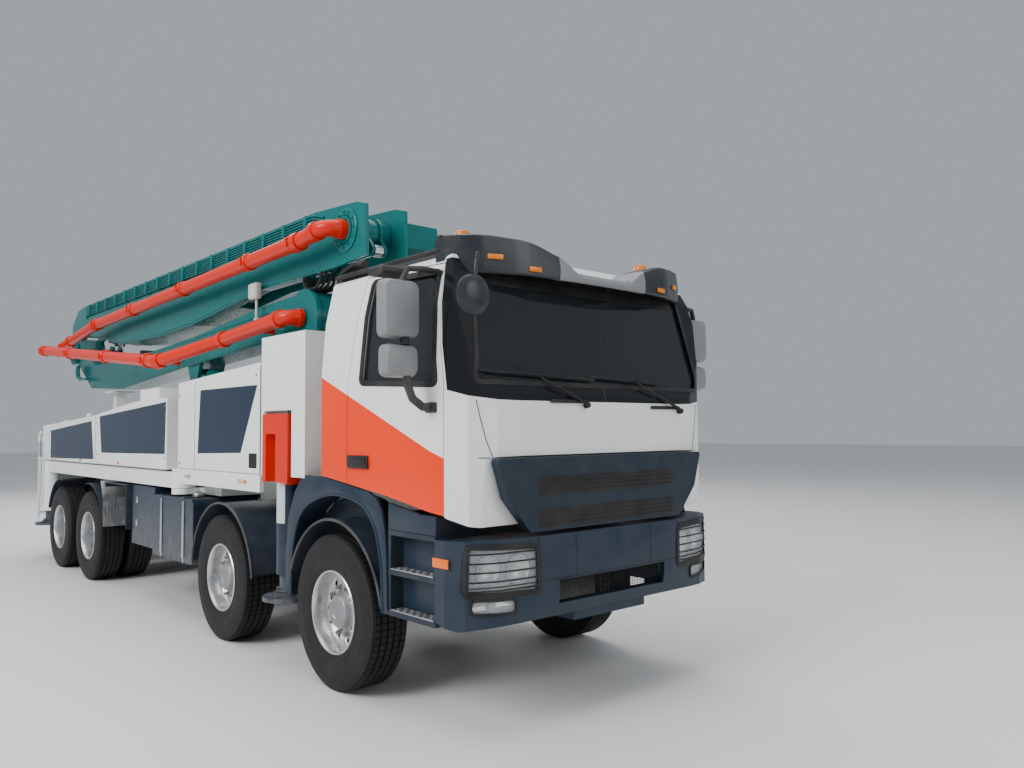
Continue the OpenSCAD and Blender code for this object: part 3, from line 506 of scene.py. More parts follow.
class Shape:
    """A bmesh under construction, with short calls for the operators that the pieces share."""

    def __init__(self) -> None:
        """Starts empty."""
        self.bm = bmesh.new()

    def bevel(self, edges: list, width: float, segments: int = 2) -> None:
        """Rounds off edges by that width."""
        bmesh.ops.bevel(self.bm, geom=edges, offset=width, affect="EDGES", segments=segments,
                        profile=0.5, material=-1)

    def extrude(self, faces: list, thick: Vector) -> list:
        """Extrudes faces by thick and hands out the moved vertices."""
        moved = vertices(bmesh.ops.extrude_face_region(self.bm, geom=faces)["geom"])
        bmesh.ops.translate(self.bm, verts=moved, vec=thick)
        return moved

    def block(self, lo: Vector, hi: Vector, edge: float = 0.004, segments: int = 2) -> list:
        """A block with bevelled edges.

        Args:
            lo, hi: two opposite corners.
            edge: width of the bevel.
            segments: steps in the bevel.

        Returns:
            Its vertices.
        """
        low = Vector(map(min, lo, hi))
        high = Vector(map(max, lo, hi))
        size = high - low
        matrix = Matrix.Translation((low + high) / 2) @ Matrix.Diagonal((*size, 1.0))
        made = bmesh.ops.create_cube(self.bm, size=1.0, matrix=matrix)["verts"]
        self.bevel(edges_of(made), min(edge, min(size) * 0.45), segments)
        return made

    def rod(self, a: Vector, b: Vector, r: float, r_end: float | None = None, sides: int = 20,
            edge: float = 0.0) -> None:
        """A round bar or a cone from a to b.

        Args:
            a, b: middles of its ends.
            r: radius at a.
            r_end: radius at b, or None for the same.
            sides: steps round it.
            edge: width of the bevel on both rims.
        """
        way = b - a
        matrix = Matrix.Translation((a + b) / 2) @ frame_along(way).to_4x4()
        made = bmesh.ops.create_cone(self.bm, cap_ends=True, segments=sides, radius1=r,
                                     radius2=r if r_end is None else r_end, depth=way.length,
                                     matrix=matrix)["verts"]
        if edge:
            self.bevel([e for e in edges_of(made) if any(len(f.verts) > 4 for f in e.link_faces)], edge)

    def ball(self, centre: Vector, r: float, squash: tuple[float, float, float] = (1.0, 1.0, 1.0),
             steps: int = 16) -> None:
        """A ball or a flattened ball."""
        matrix = Matrix.Translation(centre) @ Matrix.Diagonal((*squash, 1.0))
        bmesh.ops.create_uvsphere(self.bm, u_segments=steps, v_segments=max(6, steps // 2), radius=r,
                                  matrix=matrix)

    def tube(self, points: list[Vector], r: float, sides: int = 10, closed: bool = False) -> None:
        """A tube swept along points by bridging rings.

        Args:
            points: its middle line.
            r: its radius.
            sides: steps round it.
            closed: whether the end joins the start.
        """
        rings = []
        count = len(points)
        normal = None
        for i, p in enumerate(points):
            ahead = points[(i + 1) % count] if closed or i < count - 1 else p
            behind = points[i - 1] if closed or i > 0 else p
            way = (ahead - behind).normalized()
            if normal is None:
                normal = frame_along(way).col[0]
            normal = (normal - way * normal.dot(way)).normalized()
            turn = Matrix((normal, way.cross(normal), way)).transposed().to_4x4()
            ring = bmesh.ops.create_circle(self.bm, segments=sides, radius=r,
                                           matrix=Matrix.Translation(p) @ turn)["verts"]
            rings.append(edges_of(ring))
        last = count if closed else count - 1
        for i in range(last):
            bmesh.ops.bridge_loops(self.bm, edges=rings[i] + rings[(i + 1) % count])
        if not closed:
            bmesh.ops.holes_fill(self.bm, edges=rings[0], sides=sides)
            bmesh.ops.holes_fill(self.bm, edges=rings[-1], sides=sides)

    def loop(self, points: list[Vector]) -> list:
        """Edges of a closed loop through points."""
        verts = [self.bm.verts.new(p) for p in points]
        return [self.bm.edges.new((a, b)) for a, b in zip(verts, verts[1:] + verts[:1])]

    def loft(self, rings: list[list[Vector]]) -> None:
        """A skin through closed rings of as many points each, closed at both ends."""
        loops = [self.loop(ring) for ring in rings]
        for a, b in zip(loops, loops[1:]):
            bmesh.ops.bridge_loops(self.bm, edges=a + b)
        for end in (loops[0], loops[-1]):
            bmesh.ops.holes_fill(self.bm, edges=end, sides=len(end))

    def turned(self, profile: Outline, middle: Vector, axis: Vector, steps: int = 48) -> list:
        """A solid of revolution.

        Args:
            profile: radius and distance along the axis, in metres.
            middle: where the distance is 0.
            axis: the axis' direction.
            steps: steps round it.

        Returns:
            Its faces.
        """
        turn = Matrix.Translation(middle) @ frame_along(axis).to_4x4()
        before = set(self.bm.faces)
        verts = [self.bm.verts.new(turn @ Vector((r, 0.0, h))) for r, h in profile]
        edges = [self.bm.edges.new((verts[i], verts[i + 1])) for i in range(len(verts) - 1)]
        bmesh.ops.spin(self.bm, geom=verts + edges, cent=middle, axis=axis.normalized(), steps=steps,
                       angle=math.tau, use_merge=True, use_duplicate=False)
        made = [f for f in self.bm.faces if f not in before]
        bmesh.ops.remove_doubles(self.bm, verts=list({v for f in made for v in f.verts}), dist=1e-5)
        return [f for f in self.bm.faces if f not in before]

    def plate(self, points: list[Vector], thick: Vector, edge: float = 0.0) -> list:
        """A flat plate from its outline.

        Args:
            points: corners of one face.
            thick: the way and depth it is extruded.
            edge: width of the bevel on its edges.

        Returns:
            Its vertices.
        """
        verts = [self.bm.verts.new(p) for p in points]
        face = self.bm.faces.new(verts)
        made = verts + self.extrude([face], thick)
        if edge:
            self.bevel(edges_of(made), edge)
        return made

    def slab(self, outline: Outline | Corners, y: float, thick: float, edge: float = 0.0) -> None:
        """A plate from an outline in X and Z at y, thick metres deep along Y."""
        self.plate([at(x, y, z) for x, z in outline], Vector((0, thick, 0)), edge)

    def line(self, path: Outline | Corners, y: float, r: float, sides: int) -> None:
        """A tube of radius r along a path in X and Z at y."""
        self.tube([at(x, y, z) for x, z in path], r, sides)

    def trim(self, points: list[Vector], width: float, thick: Vector) -> None:
        """A flat ring along a closed outline.

        Args:
            points: the outline's corners.
            width: how far the ring reaches inwards.
            thick: the way and depth it is extruded.
        """
        verts = [self.bm.verts.new(p) for p in points]
        face = self.bm.faces.new(verts)
        ring = bmesh.ops.inset_region(self.bm, faces=[face], thickness=width, use_even_offset=True)["faces"]
        bmesh.ops.delete(self.bm, geom=[face], context="FACES")
        self.extrude(ring, thick)

    def mirrored(self) -> "Shape":
        """Adds the same shape on the other side of the truck."""
        geom = list(self.bm.verts) + list(self.bm.edges) + list(self.bm.faces)
        copy = bmesh.ops.duplicate(self.bm, geom=geom)["geom"]
        bmesh.ops.scale(self.bm, vec=(1.0, -1.0, 1.0), verts=vertices(copy))
        bmesh.ops.reverse_faces(self.bm, faces=[f for f in copy if isinstance(f, bmesh.types.BMFace)])
        return self


def rounded(points: Outline, radius: float, steps: int = 5) -> Outline:
    """Rounds the corners of a closed outline.

    Args:
        points: its corners.
        radius: of the rounding.
        steps: points per corner.

    Returns:
        The rounded outline.
    """
    out = []
    for i, p in enumerate(points):
        here = Vector(p)
        before, after = Vector(points[i - 1]) - here, Vector(points[(i + 1) % len(points)]) - here
        cut = min(radius, before.length * 0.45, after.length * 0.45)
        a, b = here + before.normalized() * cut, here + after.normalized() * cut
        for k in range(steps + 1):
            t = k / steps
            q = a * (1 - t) ** 2 + here * 2 * t * (1 - t) + b * t ** 2
            out.append((q.x, q.y))
    return out


def rise(table: Outline | Corners, value: float) -> float:
    """Reads a short table of steps, straight between its rows."""
    for (a, b), (c, d) in zip(table, table[1:]):
        if value <= c:
            return b + (d - b) * (max(value, a) - a) / (c - a)
    return table[-1][1]


class CabSkin:
    """Where the cab's outer faces lie, in millimetres from the first axle."""

    HALF_BY_Z = [(1200, 1248), (2120, 1248), (2600, 1205), (2890, 1140), (2995, 1050)]
    HALF_BY_X = [(-150, 1238), (1180, 1248), (1330, 1222), (1430, 1140), (1490, 960), (1516, 600)]
    NOSE_BY_Z = [(1240, 1452), (1650, 1466), (1660, 1506), (2040, 1500), (2090, 1478), (2790, 1330),
                 (2910, 1270)]
    NOSE_BY_Y = [(0, 1522), (600, 1516), (960, 1490), (1140, 1430), (1222, 1330), (1248, 1180)]

    @classmethod
    def side(cls, x: float, z: float) -> float:
        """Half width at x and z."""
        return min(rise(cls.HALF_BY_Z, z), rise(cls.HALF_BY_X, x))

    @classmethod
    def nose(cls, y: float, z: float) -> float:
        """Reach forward at y and z."""
        return min(rise(cls.NOSE_BY_Z, z), rise(cls.NOSE_BY_Y, abs(y)))

    @classmethod
    def on_side(cls, sign: int, x: float, z: float, proud: float = 0.0) -> Vector:
        """A point on the cab's side, standing proud by that much."""
        return at(x, sign * (cls.side(x, z) + proud), z)

    @classmethod
    def on_nose(cls, y: float, z: float, proud: float = 0.0) -> Vector:
        """A point on the cab's front, standing proud by that much."""
        return at(cls.nose(y, z) + proud, y, z)


@dataclass
class Tyre:
    """A truck tyre, as radius and distance out from its middle, in millimetres."""

    radius: float = 542.0
    half: float = 152.5
    bead: float = 290.0
    tread_depth: float = 13.0
    steps: int = 72
    ribs: Corners = ((122, 84), (74, 32), (22, -22), (-32, -74), (-84, -122))
    shoulder: tuple[float, float] = (24.0, 5.0)
    block_gap: float = 0.0035
    lug_gap: float = 0.006
    lug_depth: float = 0.004
    rib_gap: float = 0.0025

    def profile(self) -> Outline:
        """The section from the outer bead round to the inner one."""
        base = self.radius - self.tread_depth
        flank = [(self.bead, 126), (self.bead + 8, 138), (self.bead + 36, 146), (self.bead + 44, 150),
                 (self.bead + 50, 147), (self.bead + 120, 152), (self.bead + 126, 152.5),
                 (self.bead + 134, 151), (self.radius - 66, 149), (self.radius - 34, 143),
                 (self.radius - 20, 136), (base, 124)]
        tread = [(base, edge) for rib in self.ribs for edge in rib]
        return flank + tread + [(r, -h) for r, h in reversed(flank)]

    def build(self, shape: Shape, middle: Vector, axis: Vector, blocks: bool) -> None:
        """Adds the tyre.

        Args:
            shape: what it is added to.
            middle: the wheel's middle.
            axis: its axis, pointing out.
            blocks: whether the ribs are cut into blocks.
        """
        made = shape.turned(in_metres(self.profile()), middle, axis, self.steps)
        ribs, shoulders = [], []
        for face in made:
            away = [v.co - middle for v in face.verts]
            radii = [(a - axis * a.dot(axis)).length / MM for a in away]
            out = sum(a.dot(axis) for a in away) / len(away) / MM
            on_rib = any(min(rib) - 1 < out < max(rib) + 1 for rib in self.ribs)
            if min(radii) > self.radius - self.tread_depth - 1 and on_rib:
                ribs.append(face)
            elif (min(radii) > self.radius - self.shoulder[0]
                  and max(radii) < self.radius - self.shoulder[1]):
                shoulders.append(face)
        if blocks:
            bmesh.ops.inset_individual(shape.bm, faces=ribs, thickness=self.block_gap,
                                       depth=self.tread_depth * MM)
            bmesh.ops.inset_individual(shape.bm, faces=shoulders, thickness=self.lug_gap,
                                       depth=self.lug_depth)
        else:
            bmesh.ops.inset_region(shape.bm, faces=ribs, thickness=self.rib_gap,
                                   depth=self.tread_depth * MM, use_even_offset=True)


@dataclass
class Rim:
    """A pressed steel rim with hand holes and nuts, in millimetres out from the tyre's middle."""

    flange: Corners
    disc: Corners
    hub: Corners
    nut_face: float
    nut_circle: float = 167.5
    holes: int = 10
    hole_middle: float = 222.0
    hole_reach: float = 25.0
    hole_degrees: float = 12.0
    corner_cut: float = 6.0
    corner_pull: float = 1.9

    def polar(self, spot: Vector) -> tuple[float, float]:
        """Radius in millimetres and degrees past the last hole's start."""
        part = math.degrees(math.atan2(spot.y, spot.x)) % (360 / self.holes)
        return math.hypot(spot.x, spot.y) / MM, part

    def build(self, shape: Shape, middle: Vector, axis: Vector) -> None:
        """Adds the rim and cuts its hand holes."""
        made = shape.turned(in_metres(self.flange + self.disc), middle, axis, self.holes * 6)
        turn = frame_along(axis).transposed()
        gone, corners = [], set()
        for face in made:
            radius, part = self.polar(turn @ (face.calc_center_median() - middle))
            if abs(radius - self.hole_middle) < self.hole_reach and part < self.hole_degrees:
                gone.append(face)
        for face in gone:
            for v in face.verts:
                radius, part = self.polar(turn @ (v.co - middle))
                nearest = min(part, self.hole_degrees - part, key=abs)
                if abs(radius - self.hole_middle) > self.hole_reach - 5 and nearest < 1:
                    corners.add((v, radius, part))
        for v, radius, part in corners:
            spot = turn @ (v.co - middle)
            now = math.atan2(spot.y, spot.x)
            pull = math.radians(self.corner_pull) * (1 if part < 1 or part > 350 / self.holes else -1)
            reach = (radius + self.corner_cut * (1 if radius < self.hole_middle else -1)) * MM
            v.co = middle + turn.transposed() @ (spoke(now + pull) * reach + UP * spot.z)
        bmesh.ops.delete(shape.bm, geom=gone, context="FACES")

    def build_hub(self, shape: Shape, middle: Vector, axis: Vector) -> None:
        """Adds the hub and the ring of nuts."""
        shape.turned(in_metres(self.hub), middle, axis, 40)
        turn = frame_along(axis)
        for i in range(self.holes):
            spot = middle + turn @ spoke(math.tau * (i + 0.5) / self.holes) * self.nut_circle * MM
            foot = spot + axis * self.nut_face * MM
            shape.rod(foot - axis * 0.004, foot + axis * 0.006, 0.021, sides=18)
            shape.rod(foot + axis * 0.004, foot + axis * 0.030, 0.0165, sides=6, edge=0.002)
            shape.rod(foot + axis * 0.028, foot + axis * 0.042, 0.011, sides=12, edge=0.0015)


FRONT_RIM = Rim(
    flange=((291, 124), (295, 136), (289, 142), (281, 140), (275, 130), (271, 108), (268, 60), (264, 30)),
    disc=((256, 21), (246, 20), (222, 22), (198, 26), (190, 33), (176, 40), (150, 44)),
    hub=((150, 44), (136, 50), (122, 64), (116, 92), (108, 101), (96, 104), (60, 104), (54, 98), (0, 97)),
    nut_face=41.0,
)
REAR_RIM = Rim(
    flange=((291, 124), (295, 136), (289, 142), (281, 140), (275, 130), (271, 96), (266, 20), (264, -110),
            (262, -138)),
    disc=((256, -149), (246, -154), (222, -160), (198, -162), (190, -162), (176, -161), (130, -160)),
    hub=((130, -160), (128, -120), (122, -60), (112, -38), (96, -30), (70, -26), (64, -18), (0, -16)),
    nut_face=-161.0,
)


@dataclass
class Wheels:
    """All the wheels: tyres, rims, hubs and drums, each on its own body."""

    track_out: float = 1244.0
    width: float = 305.0
    pitch: float = 351.0
    axles: tuple[str, ...] = ("1", "2", "3", "4")
    front_drum: Corners = ((0, -178), (205, -178), (250, -122), (256, -112), (256, -20), (248, -12), (0, -12))
    rear_drum: Corners = (
        (0, -310), (205, -310), (212, -300), (250, -260), (254, -250), (254, -186), (246, -178), (0, -178))
    twin_rim: Corners = (
        (262, -176), (264, -240), (268, -372), (275, -478), (281, -489), (289, -492), (295, -486), (291, -474))
    tyre: Tyre = field(default_factory=Tyre)

    def place(self, node: str, sign: int) -> Vector:
        """A wheel's middle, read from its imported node."""
        lo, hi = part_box(node)
        y = sign * (self.track_out - self.width / 2) * MM
        return Vector(((lo[0] + hi[0]) / 2, y, (lo[2] + hi[2]) / 2))

    def build(self) -> list:
        """Builds every wheel."""
        made = []
        for number in self.axles:
            for side in Side:
                made += self.build_wheel(number, side.value)
        return made

    def build_wheel(self, number: str, sign: int) -> list:
        """Builds one wheel or one pair of twins.

        Args:
            number: the axle.
            sign: the side.

        Returns:
            Its pieces.
        """
        node = f"wheel_{number}{'r' if sign < 0 else 'l'}"
        middle, axis = self.place(node, sign), Vector((0.0, float(sign), 0.0))
        twin = number in "34"
        rubber = Shape()
        self.tyre.build(rubber, middle, axis, not twin)
        if twin:
            self.tyre.build(rubber, middle - axis * self.pitch * MM, axis, False)
        tyre = piece(f"tyre_{node}", rubber.bm, "tyre_rubber", node, 30.0)
        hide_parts(node)
        rim, hub = REAR_RIM if twin else FRONT_RIM, Shape()
        steel = Shape()
        rim.build(steel, middle, axis)
        if twin:
            self.inner_rim(steel, middle, axis)
        shell = piece(f"rim_{node}", steel.bm, "rim_silver", node, 40.0)
        wall = shell.modifiers.new("wall", "SOLIDIFY")
        wall.thickness, wall.offset = 0.008, -1.0
        rim.build_hub(hub, middle, axis)
        nave = piece(f"hub_{node}", hub.bm, "hub_grey", node, 40.0)
        drum = Shape()
        drum.turned(in_metres(self.rear_drum if twin else self.front_drum), middle, axis, 48)
        brake = piece(f"drum_{node}", drum.bm, "axle_black", node, 40.0)
        return [tyre, shell, nave, brake]

    def inner_rim(self, steel: Shape, middle: Vector, axis: Vector) -> None:
        """Adds the inner twin's rim, seen from behind."""
        steel.turned(in_metres(self.twin_rim), middle, axis, 60)


def inward(points: Outline, width: float) -> Outline:
    """Moves a closed outline inwards.

    Args:
        points: corners, in millimetres.
        width: how far.

    Returns:
        The smaller outline, with as many corners.
    """
    area = sum(a[0] * b[1] - b[0] * a[1] for a, b in zip(points, points[1:] + points[:1]))
    turn = 1.0 if area > 0 else -1.0
    out = []
    for i, p in enumerate(points):
        before, after = Vector(points[i - 1]), Vector(points[(i + 1) % len(points)])
        way = (after - before).normalized()
        out.append((p[0] - way.y * width * turn, p[1] + way.x * width * turn))
    return out


def dense(points: Outline, step: float) -> Outline:
    """Adds corners along a closed outline so that none lie farther apart than step."""
    out = []
    for a, b in zip(points, points[1:] + points[:1]):
        count = max(1, math.ceil(math.dist(a, b) / step))
        out += [(a[0] + (b[0] - a[0]) * k / count, a[1] + (b[1] - a[1]) * k / count) for k in range(count)]
    return out


def laid_ring(shape: Shape, outline: Outline, width: float, thick: Vector, place) -> None:
    """A ring along an outline, laid on a curved skin.

    Args:
        shape: what it is added to.
        outline: its outer edge, in the skin's own two coordinates.
        width: how far it reaches inwards, in millimetres.
        thick: the way and depth it stands proud.
        place: turns the two coordinates into a point.
    """
    edges = []
    for row in (outline, inward(outline, width)):
        edges += shape.loop([place(*p) for p in row])
    shape.extrude(bmesh.ops.bridge_loops(shape.bm, edges=edges)["faces"], thick)


@dataclass
class CabTrim:
    """Rubbers, handles, mirrors' faces, seams and wipers on the cab."""

    door_window: Corners = ((400, 2150), (1232, 2105), (1178, 2800), (420, 2835))
    screen: Corners = ((-1100, 2110), (1100, 2110), (1015, 2820), (-1015, 2820))
    lid_seam: Corners = ((1092, 2000), (1070, 1900), (1030, 1750), (992, 1655))
    sun_strip: tuple[float, float] = (2735, 2800)
    door_y: float = 1248.0
    handle_tray: Corners = ((236, 1558), (494, 1558), (494, 1662), (236, 1662))
    mirror_section: Corners = ((1124, 0), (1132, 5), (1180, 6), (1218, -6), (1236, -34), (1240, -60))
    wipers: tuple[tuple[float, float, float, float, float, float, float], ...] = (
        (-203, 1979, -600, 2150, -1080, -90, 2165), (803, 1949, 330, 2150, -130, 640, 2160))
    mirror_heads: tuple[tuple[float, float, float, float], ...] = (
        (2372, 2712, 1338, 1583), (2140, 2326, 1348, 1570))
    mirror_arm: Spots = (
        (1200, 1140, 2790), (1200, 1300, 2800), (1196, 1410, 2788), (1190, 1440, 2730), (1190, 1440, 2690))
    mirror_boot: Spots = (
        (1190, 1420, 2170), (1192, 1405, 2080), (1200, 1380, 2010), (1204, 1310, 1962), (1208, 1230, 1956))

    def build(self) -> list:
        """Builds the trim of both sides and the front."""
        made = []
        for side in Side:
            made += [self.build_rubber(side), self.build_handle(side)]
            made += self.build_mirror(side)
        return made + [self.build_screen_rubber(), self.build_seams(), self.build_wipers(),
                       self.build_top_strip()]

    def build_rubber(self, side: Side) -> bpy.types.Object:
        """The black rubber round a door's window."""
        shape, sign = Shape(), side.value
        outline = dense(rounded(list(self.door_window), 30), 120)
        outer = inward(outline, -26)
        laid_ring(shape, outer, 38, Vector((0, sign * 0.007, 0)),
                  lambda x, z: CabSkin.on_side(sign, x, z, -2))
        return piece(f"window_rubber_{side.tag}", shape.bm, "rubber_black", f"door_{side.tag}")

    def build_handle(self, side: Side) -> bpy.types.Object:
        """The recessed door handle: a dark tray with a bar across it."""
        shape, sign, y = Shape(), side.value, self.door_y
        tray = rounded(list(self.handle_tray), 20)
        shape.trim([at(x, sign * (y + 4), z) for x, z in tray], 0.016, Vector((0, sign * 0.009, 0)))
        shape.block(at(238, sign * (y + 3), 1566), at(502, sign * (y + 12), 1654), 0.003)
        shape.block(at(262, sign * (y + 10), 1600), at(478, sign * (y + 19), 1640), 0.006)
        return piece(f"door_handle_{side.tag}", shape.bm, "rubber_black", f"door_{side.tag}")

    def build_mirror(self, side: Side) -> list:
        """Two heads with glass, their arm, boot and the kerb mirror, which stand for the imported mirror."""
        shells, glass, arms, sign = Shape(), Shape(), Shape(), side.value
        for low, high, near, far in self.mirror_heads:
            rings = []
            for x, grow in self.mirror_section:
                outline = rounded([(near - grow, low - grow), (far + grow, low - grow),
                                   (far + grow, high + grow), (near - grow, high + grow)], 52, 6)
                rings.append([at(x, sign * y, z) for y, z in outline])
            shells.loft(rings)
            face = rounded([(near + 12, low + 14), (far - 12, low + 14), (far - 12, high - 14),
                            (near + 12, high - 14)], 30)
            glass.plate([at(1123, sign * y, z) for y, z in face], Vector((-0.004, 0, 0)))
        arms.tube([at(x, sign * y, z) for x, y, z in self.mirror_arm], 0.019, 12)
        arms.tube([at(x, sign * y, z) for x, y, z in self.mirror_boot], 0.026, 14)
        arms.rod(at(1190, sign * 1430, 2330), at(1190, sign * 1430, 2372), 0.030, sides=16)
        arms.block(at(1150, sign * 1222, 1925), at(1250, sign * 1262, 1990), 0.012)
        arms.block(at(1150, sign * 1110, 2765), at(1245, sign * 1160, 2815), 0.012)
        arms.block(at(880, sign * 1300, 2775), at(1050, sign * 1500, 2830), 0.020, 3)
        arms.tube([at(960, sign * y, z) for y, z in ((1120, 2850), (1240, 2852), (1340, 2822))], 0.013, 10)
        door = f"door_{side.tag}"
        bracket = piece(f"mirror_arms_{side.tag}", arms.bm, "mirror_black", door)
        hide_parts(f"mirror_{side.tag}")
        return [bracket, piece(f"mirror_shell_{side.tag}", shells.bm, "mirror_grey", door),
                piece(f"mirror_glass_{side.tag}", glass.bm, "mirror_face", door)]

    def build_screen_rubber(self) -> bpy.types.Object:
        """The black rubber round the windscreen."""
        shape = Shape()
        outline = dense(rounded(list(self.screen), 50, 8), 60)
        laid_ring(shape, inward(outline, -16), 30, Vector((0.006, 0, 0)),
                  lambda y, z: CabSkin.on_nose(y, z, -2))
        return piece("screen_rubber", shape.bm, "rubber_black", "chassis")

    def build_seams(self) -> bpy.types.Object:
        """Thin dark seams of the front lid and the corner panels."""
        shape = Shape()
        for sign in (-1, 1):
            shape.tube([CabSkin.on_nose(sign * y, z, 0.5) for y, z in self.lid_seam], 0.0028, 6)
        rows = [(-1080 + 60 * k) for k in range(37)]
        shape.tube([CabSkin.on_nose(y, 1652, 1.0) for y in rows], 0.0028, 6)
        return piece("lid_seams", shape.bm, "rubber_black", "chassis")

    def build_wipers(self) -> bpy.types.Object:
        """Two wipers parked under the windscreen."""
        shape = Shape()
        for y0, z0, y1, z1, left, right, z2 in self.wipers:
            foot = CabSkin.on_nose(y0, z0, 4)
            shape.rod(foot, foot + Vector((0.034, 0, 0)), 0.024, 0.018, 16, 0.003)
            tip = CabSkin.on_nose(y1, z1, 26)
            knee = foot + Vector((0.030, 0, 0)) + (tip - foot) * 0.3
            shape.rod(foot + Vector((0.030, 0, 0)), knee, 0.012, 0.010, 10)
            shape.rod(knee, tip, 0.009, 0.006, 10)
            ends = [CabSkin.on_nose(left + (right - left) * k / 10, z2 + 14 - 28 * k / 10, 14)
                    for k in range(11)]
            shape.tube(ends, 0.0075, 8)
            shape.tube([p + Vector((0.013, 0, 0.002)) for p in ends[1:-1]], 0.005, 6)
            base = CabSkin.on_nose(y0 - 330, z0 + 10, 3)
            shape.block(base, foot + Vector((0.018, 0, 0.034)), 0.008)
        return piece("wipers", shape.bm, "rubber_black", "chassis")

    def build_top_strip(self) -> bpy.types.Object:
        """The tinted strip along the top of the windscreen."""
        shape = Shape()
        rows = [-960 + 80 * k for k in range(25)]
        edges = []
        for z in self.sun_strip:
            verts = [shape.bm.verts.new(CabSkin.on_nose(y, z, -16)) for y in rows]
            edges += [shape.bm.edges.new(pair) for pair in zip(verts, verts[1:])]
        faces = bmesh.ops.bridge_loops(shape.bm, edges=edges)["faces"]
        shape.extrude(faces, Vector((-0.003, 0, 0)))
        return piece("sun_strip", shape.bm, "rubber_black", "chassis")


@dataclass
class CabRoof:
    """Visor, beacons, marker lamps and the front mirror on the cab's roof."""

    beacon_x: float = 1080.0
    beacon_y: float = 900.0
    reach: Corners = ((0, 1528), (320, 1524), (720, 1478), (1040, 1350), (1145, 1215))
    top: Corners = ((0, 2852), (262, 2854), (420, 2950), (620, 3016), (900, 3040), (1145, 3040))
    underside: float = 2792.0
    mirror_arm: Spots = (
        (1440, -1080, 2850), (1540, -1150, 2862), (1600, -1200, 2840), (1612, -1222, 2780), (1612, -1229, 2690))
    markers: Corners = ((900, 2895), (635, 2835))

    def section(self, y: float, proud: float = 0.0) -> list[Vector]:
        """The visor's section at y, from its lower back edge round its front."""
        x, high = rise(self.reach, abs(y)) + proud, rise(self.top, abs(y)) + proud
        low = self.underside - proud
        back = max(x - 300, 1130 if abs(y) > 1000 else 1200)
        mid = (high + low) / 2 - 6
        rows = ((x - 86, low + 14), (x - 14, low), (x - 3, low + 10), (x, mid), (x - 16, high - 14),
                (x - 40, high - 2), (back + 30, high), (back, high - 10), (back + 8, high - 24),
                (x - 110, high - 34))
        return [at(px, y, pz) for px, pz in rows]

    def build(self) -> list:
        """Builds the roof's pieces."""
        return [self.build_visor(), *self.build_lamps(), self.build_bundle()]

    def build_visor(self) -> bpy.types.Object:
        """The winged visor with beacon feet and the front mirror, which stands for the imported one."""
        shape = Shape()
        stations = [-1145, -1120] + [-1080 + 60 * k for k in range(37)] + [1120, 1145]
        shape.loft([self.section(y) for y in stations])
        stand = [(0.0, 0.0), (0.066, 0.0), (0.064, 0.020), (0.056, 0.028), (0.056, 0.046), (0.0, 0.046)]
        for sign in (-1, 1):
            shape.turned(stand, at(self.beacon_x, sign * self.beacon_y, 2986), UP, 28)
            for y in (1060, 1100):
                shape.rod(at(1180, sign * y, 2935), at(1290, sign * (y - 30), 3015), 0.012, sides=10)
        shape.tube([at(*p) for p in self.mirror_arm], 0.013, 10)
        rows = [(0.0, 0.058), (0.060, 0.056), (0.100, 0.044), (0.120, 0.020), (0.120, 0.004), (0.112, 0.0),
                (0.0, 0.0)]
        shape.turned(rows, at(1582, -1230, 2600), Vector((1, 0, 0)), 36)
        visor = piece("winged_visor", shape.bm, "visor_paint", "chassis")
        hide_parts("roof_visor")
        return visor

    def build_lamps(self) -> list:
        """Beacon lenses, amber markers and the visor's grey middle."""
        lens, amber, middle = Shape(), Shape(), Shape()
        for sign in (-1, 1):
            foot = at(self.beacon_x, sign * self.beacon_y, 3030)
            rows = [(0.0, 0.0), (0.048, 0.0), (0.051, 0.008), (0.050, 0.060), (0.042, 0.080), (0.024, 0.090),
                    (0.0, 0.091)]
            lens.turned(rows, foot, UP, 28)
            for k in range(5):
                rib = [(0.0495, 0.010), (0.0525, 0.013), (0.0495, 0.016)]
                lens.turned([(r, h + k * 0.010) for r, h in rib], foot, UP, 28)
            for y, z in self.markers:
                x = rise(self.reach, y) - 4
                slope = (rise(self.reach, y + 45) - rise(self.reach, y - 45)) / 2
                rows = ((-1, -16), (1, -16), (1, 16), (-1, 16))
                amber.plate([at(x + end * slope, sign * (y + end * 45), z + up) for end, up in rows],
                            Vector((0.016, 0, 0)), 0.004)
        middle.loft([self.section(y, 4.0) for y in range(-430, 431, 43)])
        return [piece("beacon_lenses", lens.bm, "beacon_amber", "chassis"),
                piece("visor_markers", amber.bm, "beacon_amber", "chassis"),
                piece("visor_middle", middle.bm, "mirror_grey", "chassis")]

    def build_bundle(self) -> bpy.types.Object:
        """Dark strips along the roof's sides and the wrapped bundle at the rear corner."""
        shape = Shape()
        for sign in (-1, 1):
            points = [(-120, 1128), (300, 1134), (800, 1134), (1150, 1128)]
            shape.tube([at(x, sign * (y + 4), 2945) for x, y in smoothed(points)], 0.018, 8)
        rolls = [(-150, 2950), (-80, 2985), (60, 3010), (160, 2995)]
        for k in range(3):
            shape.tube([at(x, -1060 - 24 * (k % 2), z + 16 * k) for x, z in smoothed(rolls)], 0.022, 10)
        return piece("roof_strips", shape.bm, "rubber_black", "chassis")


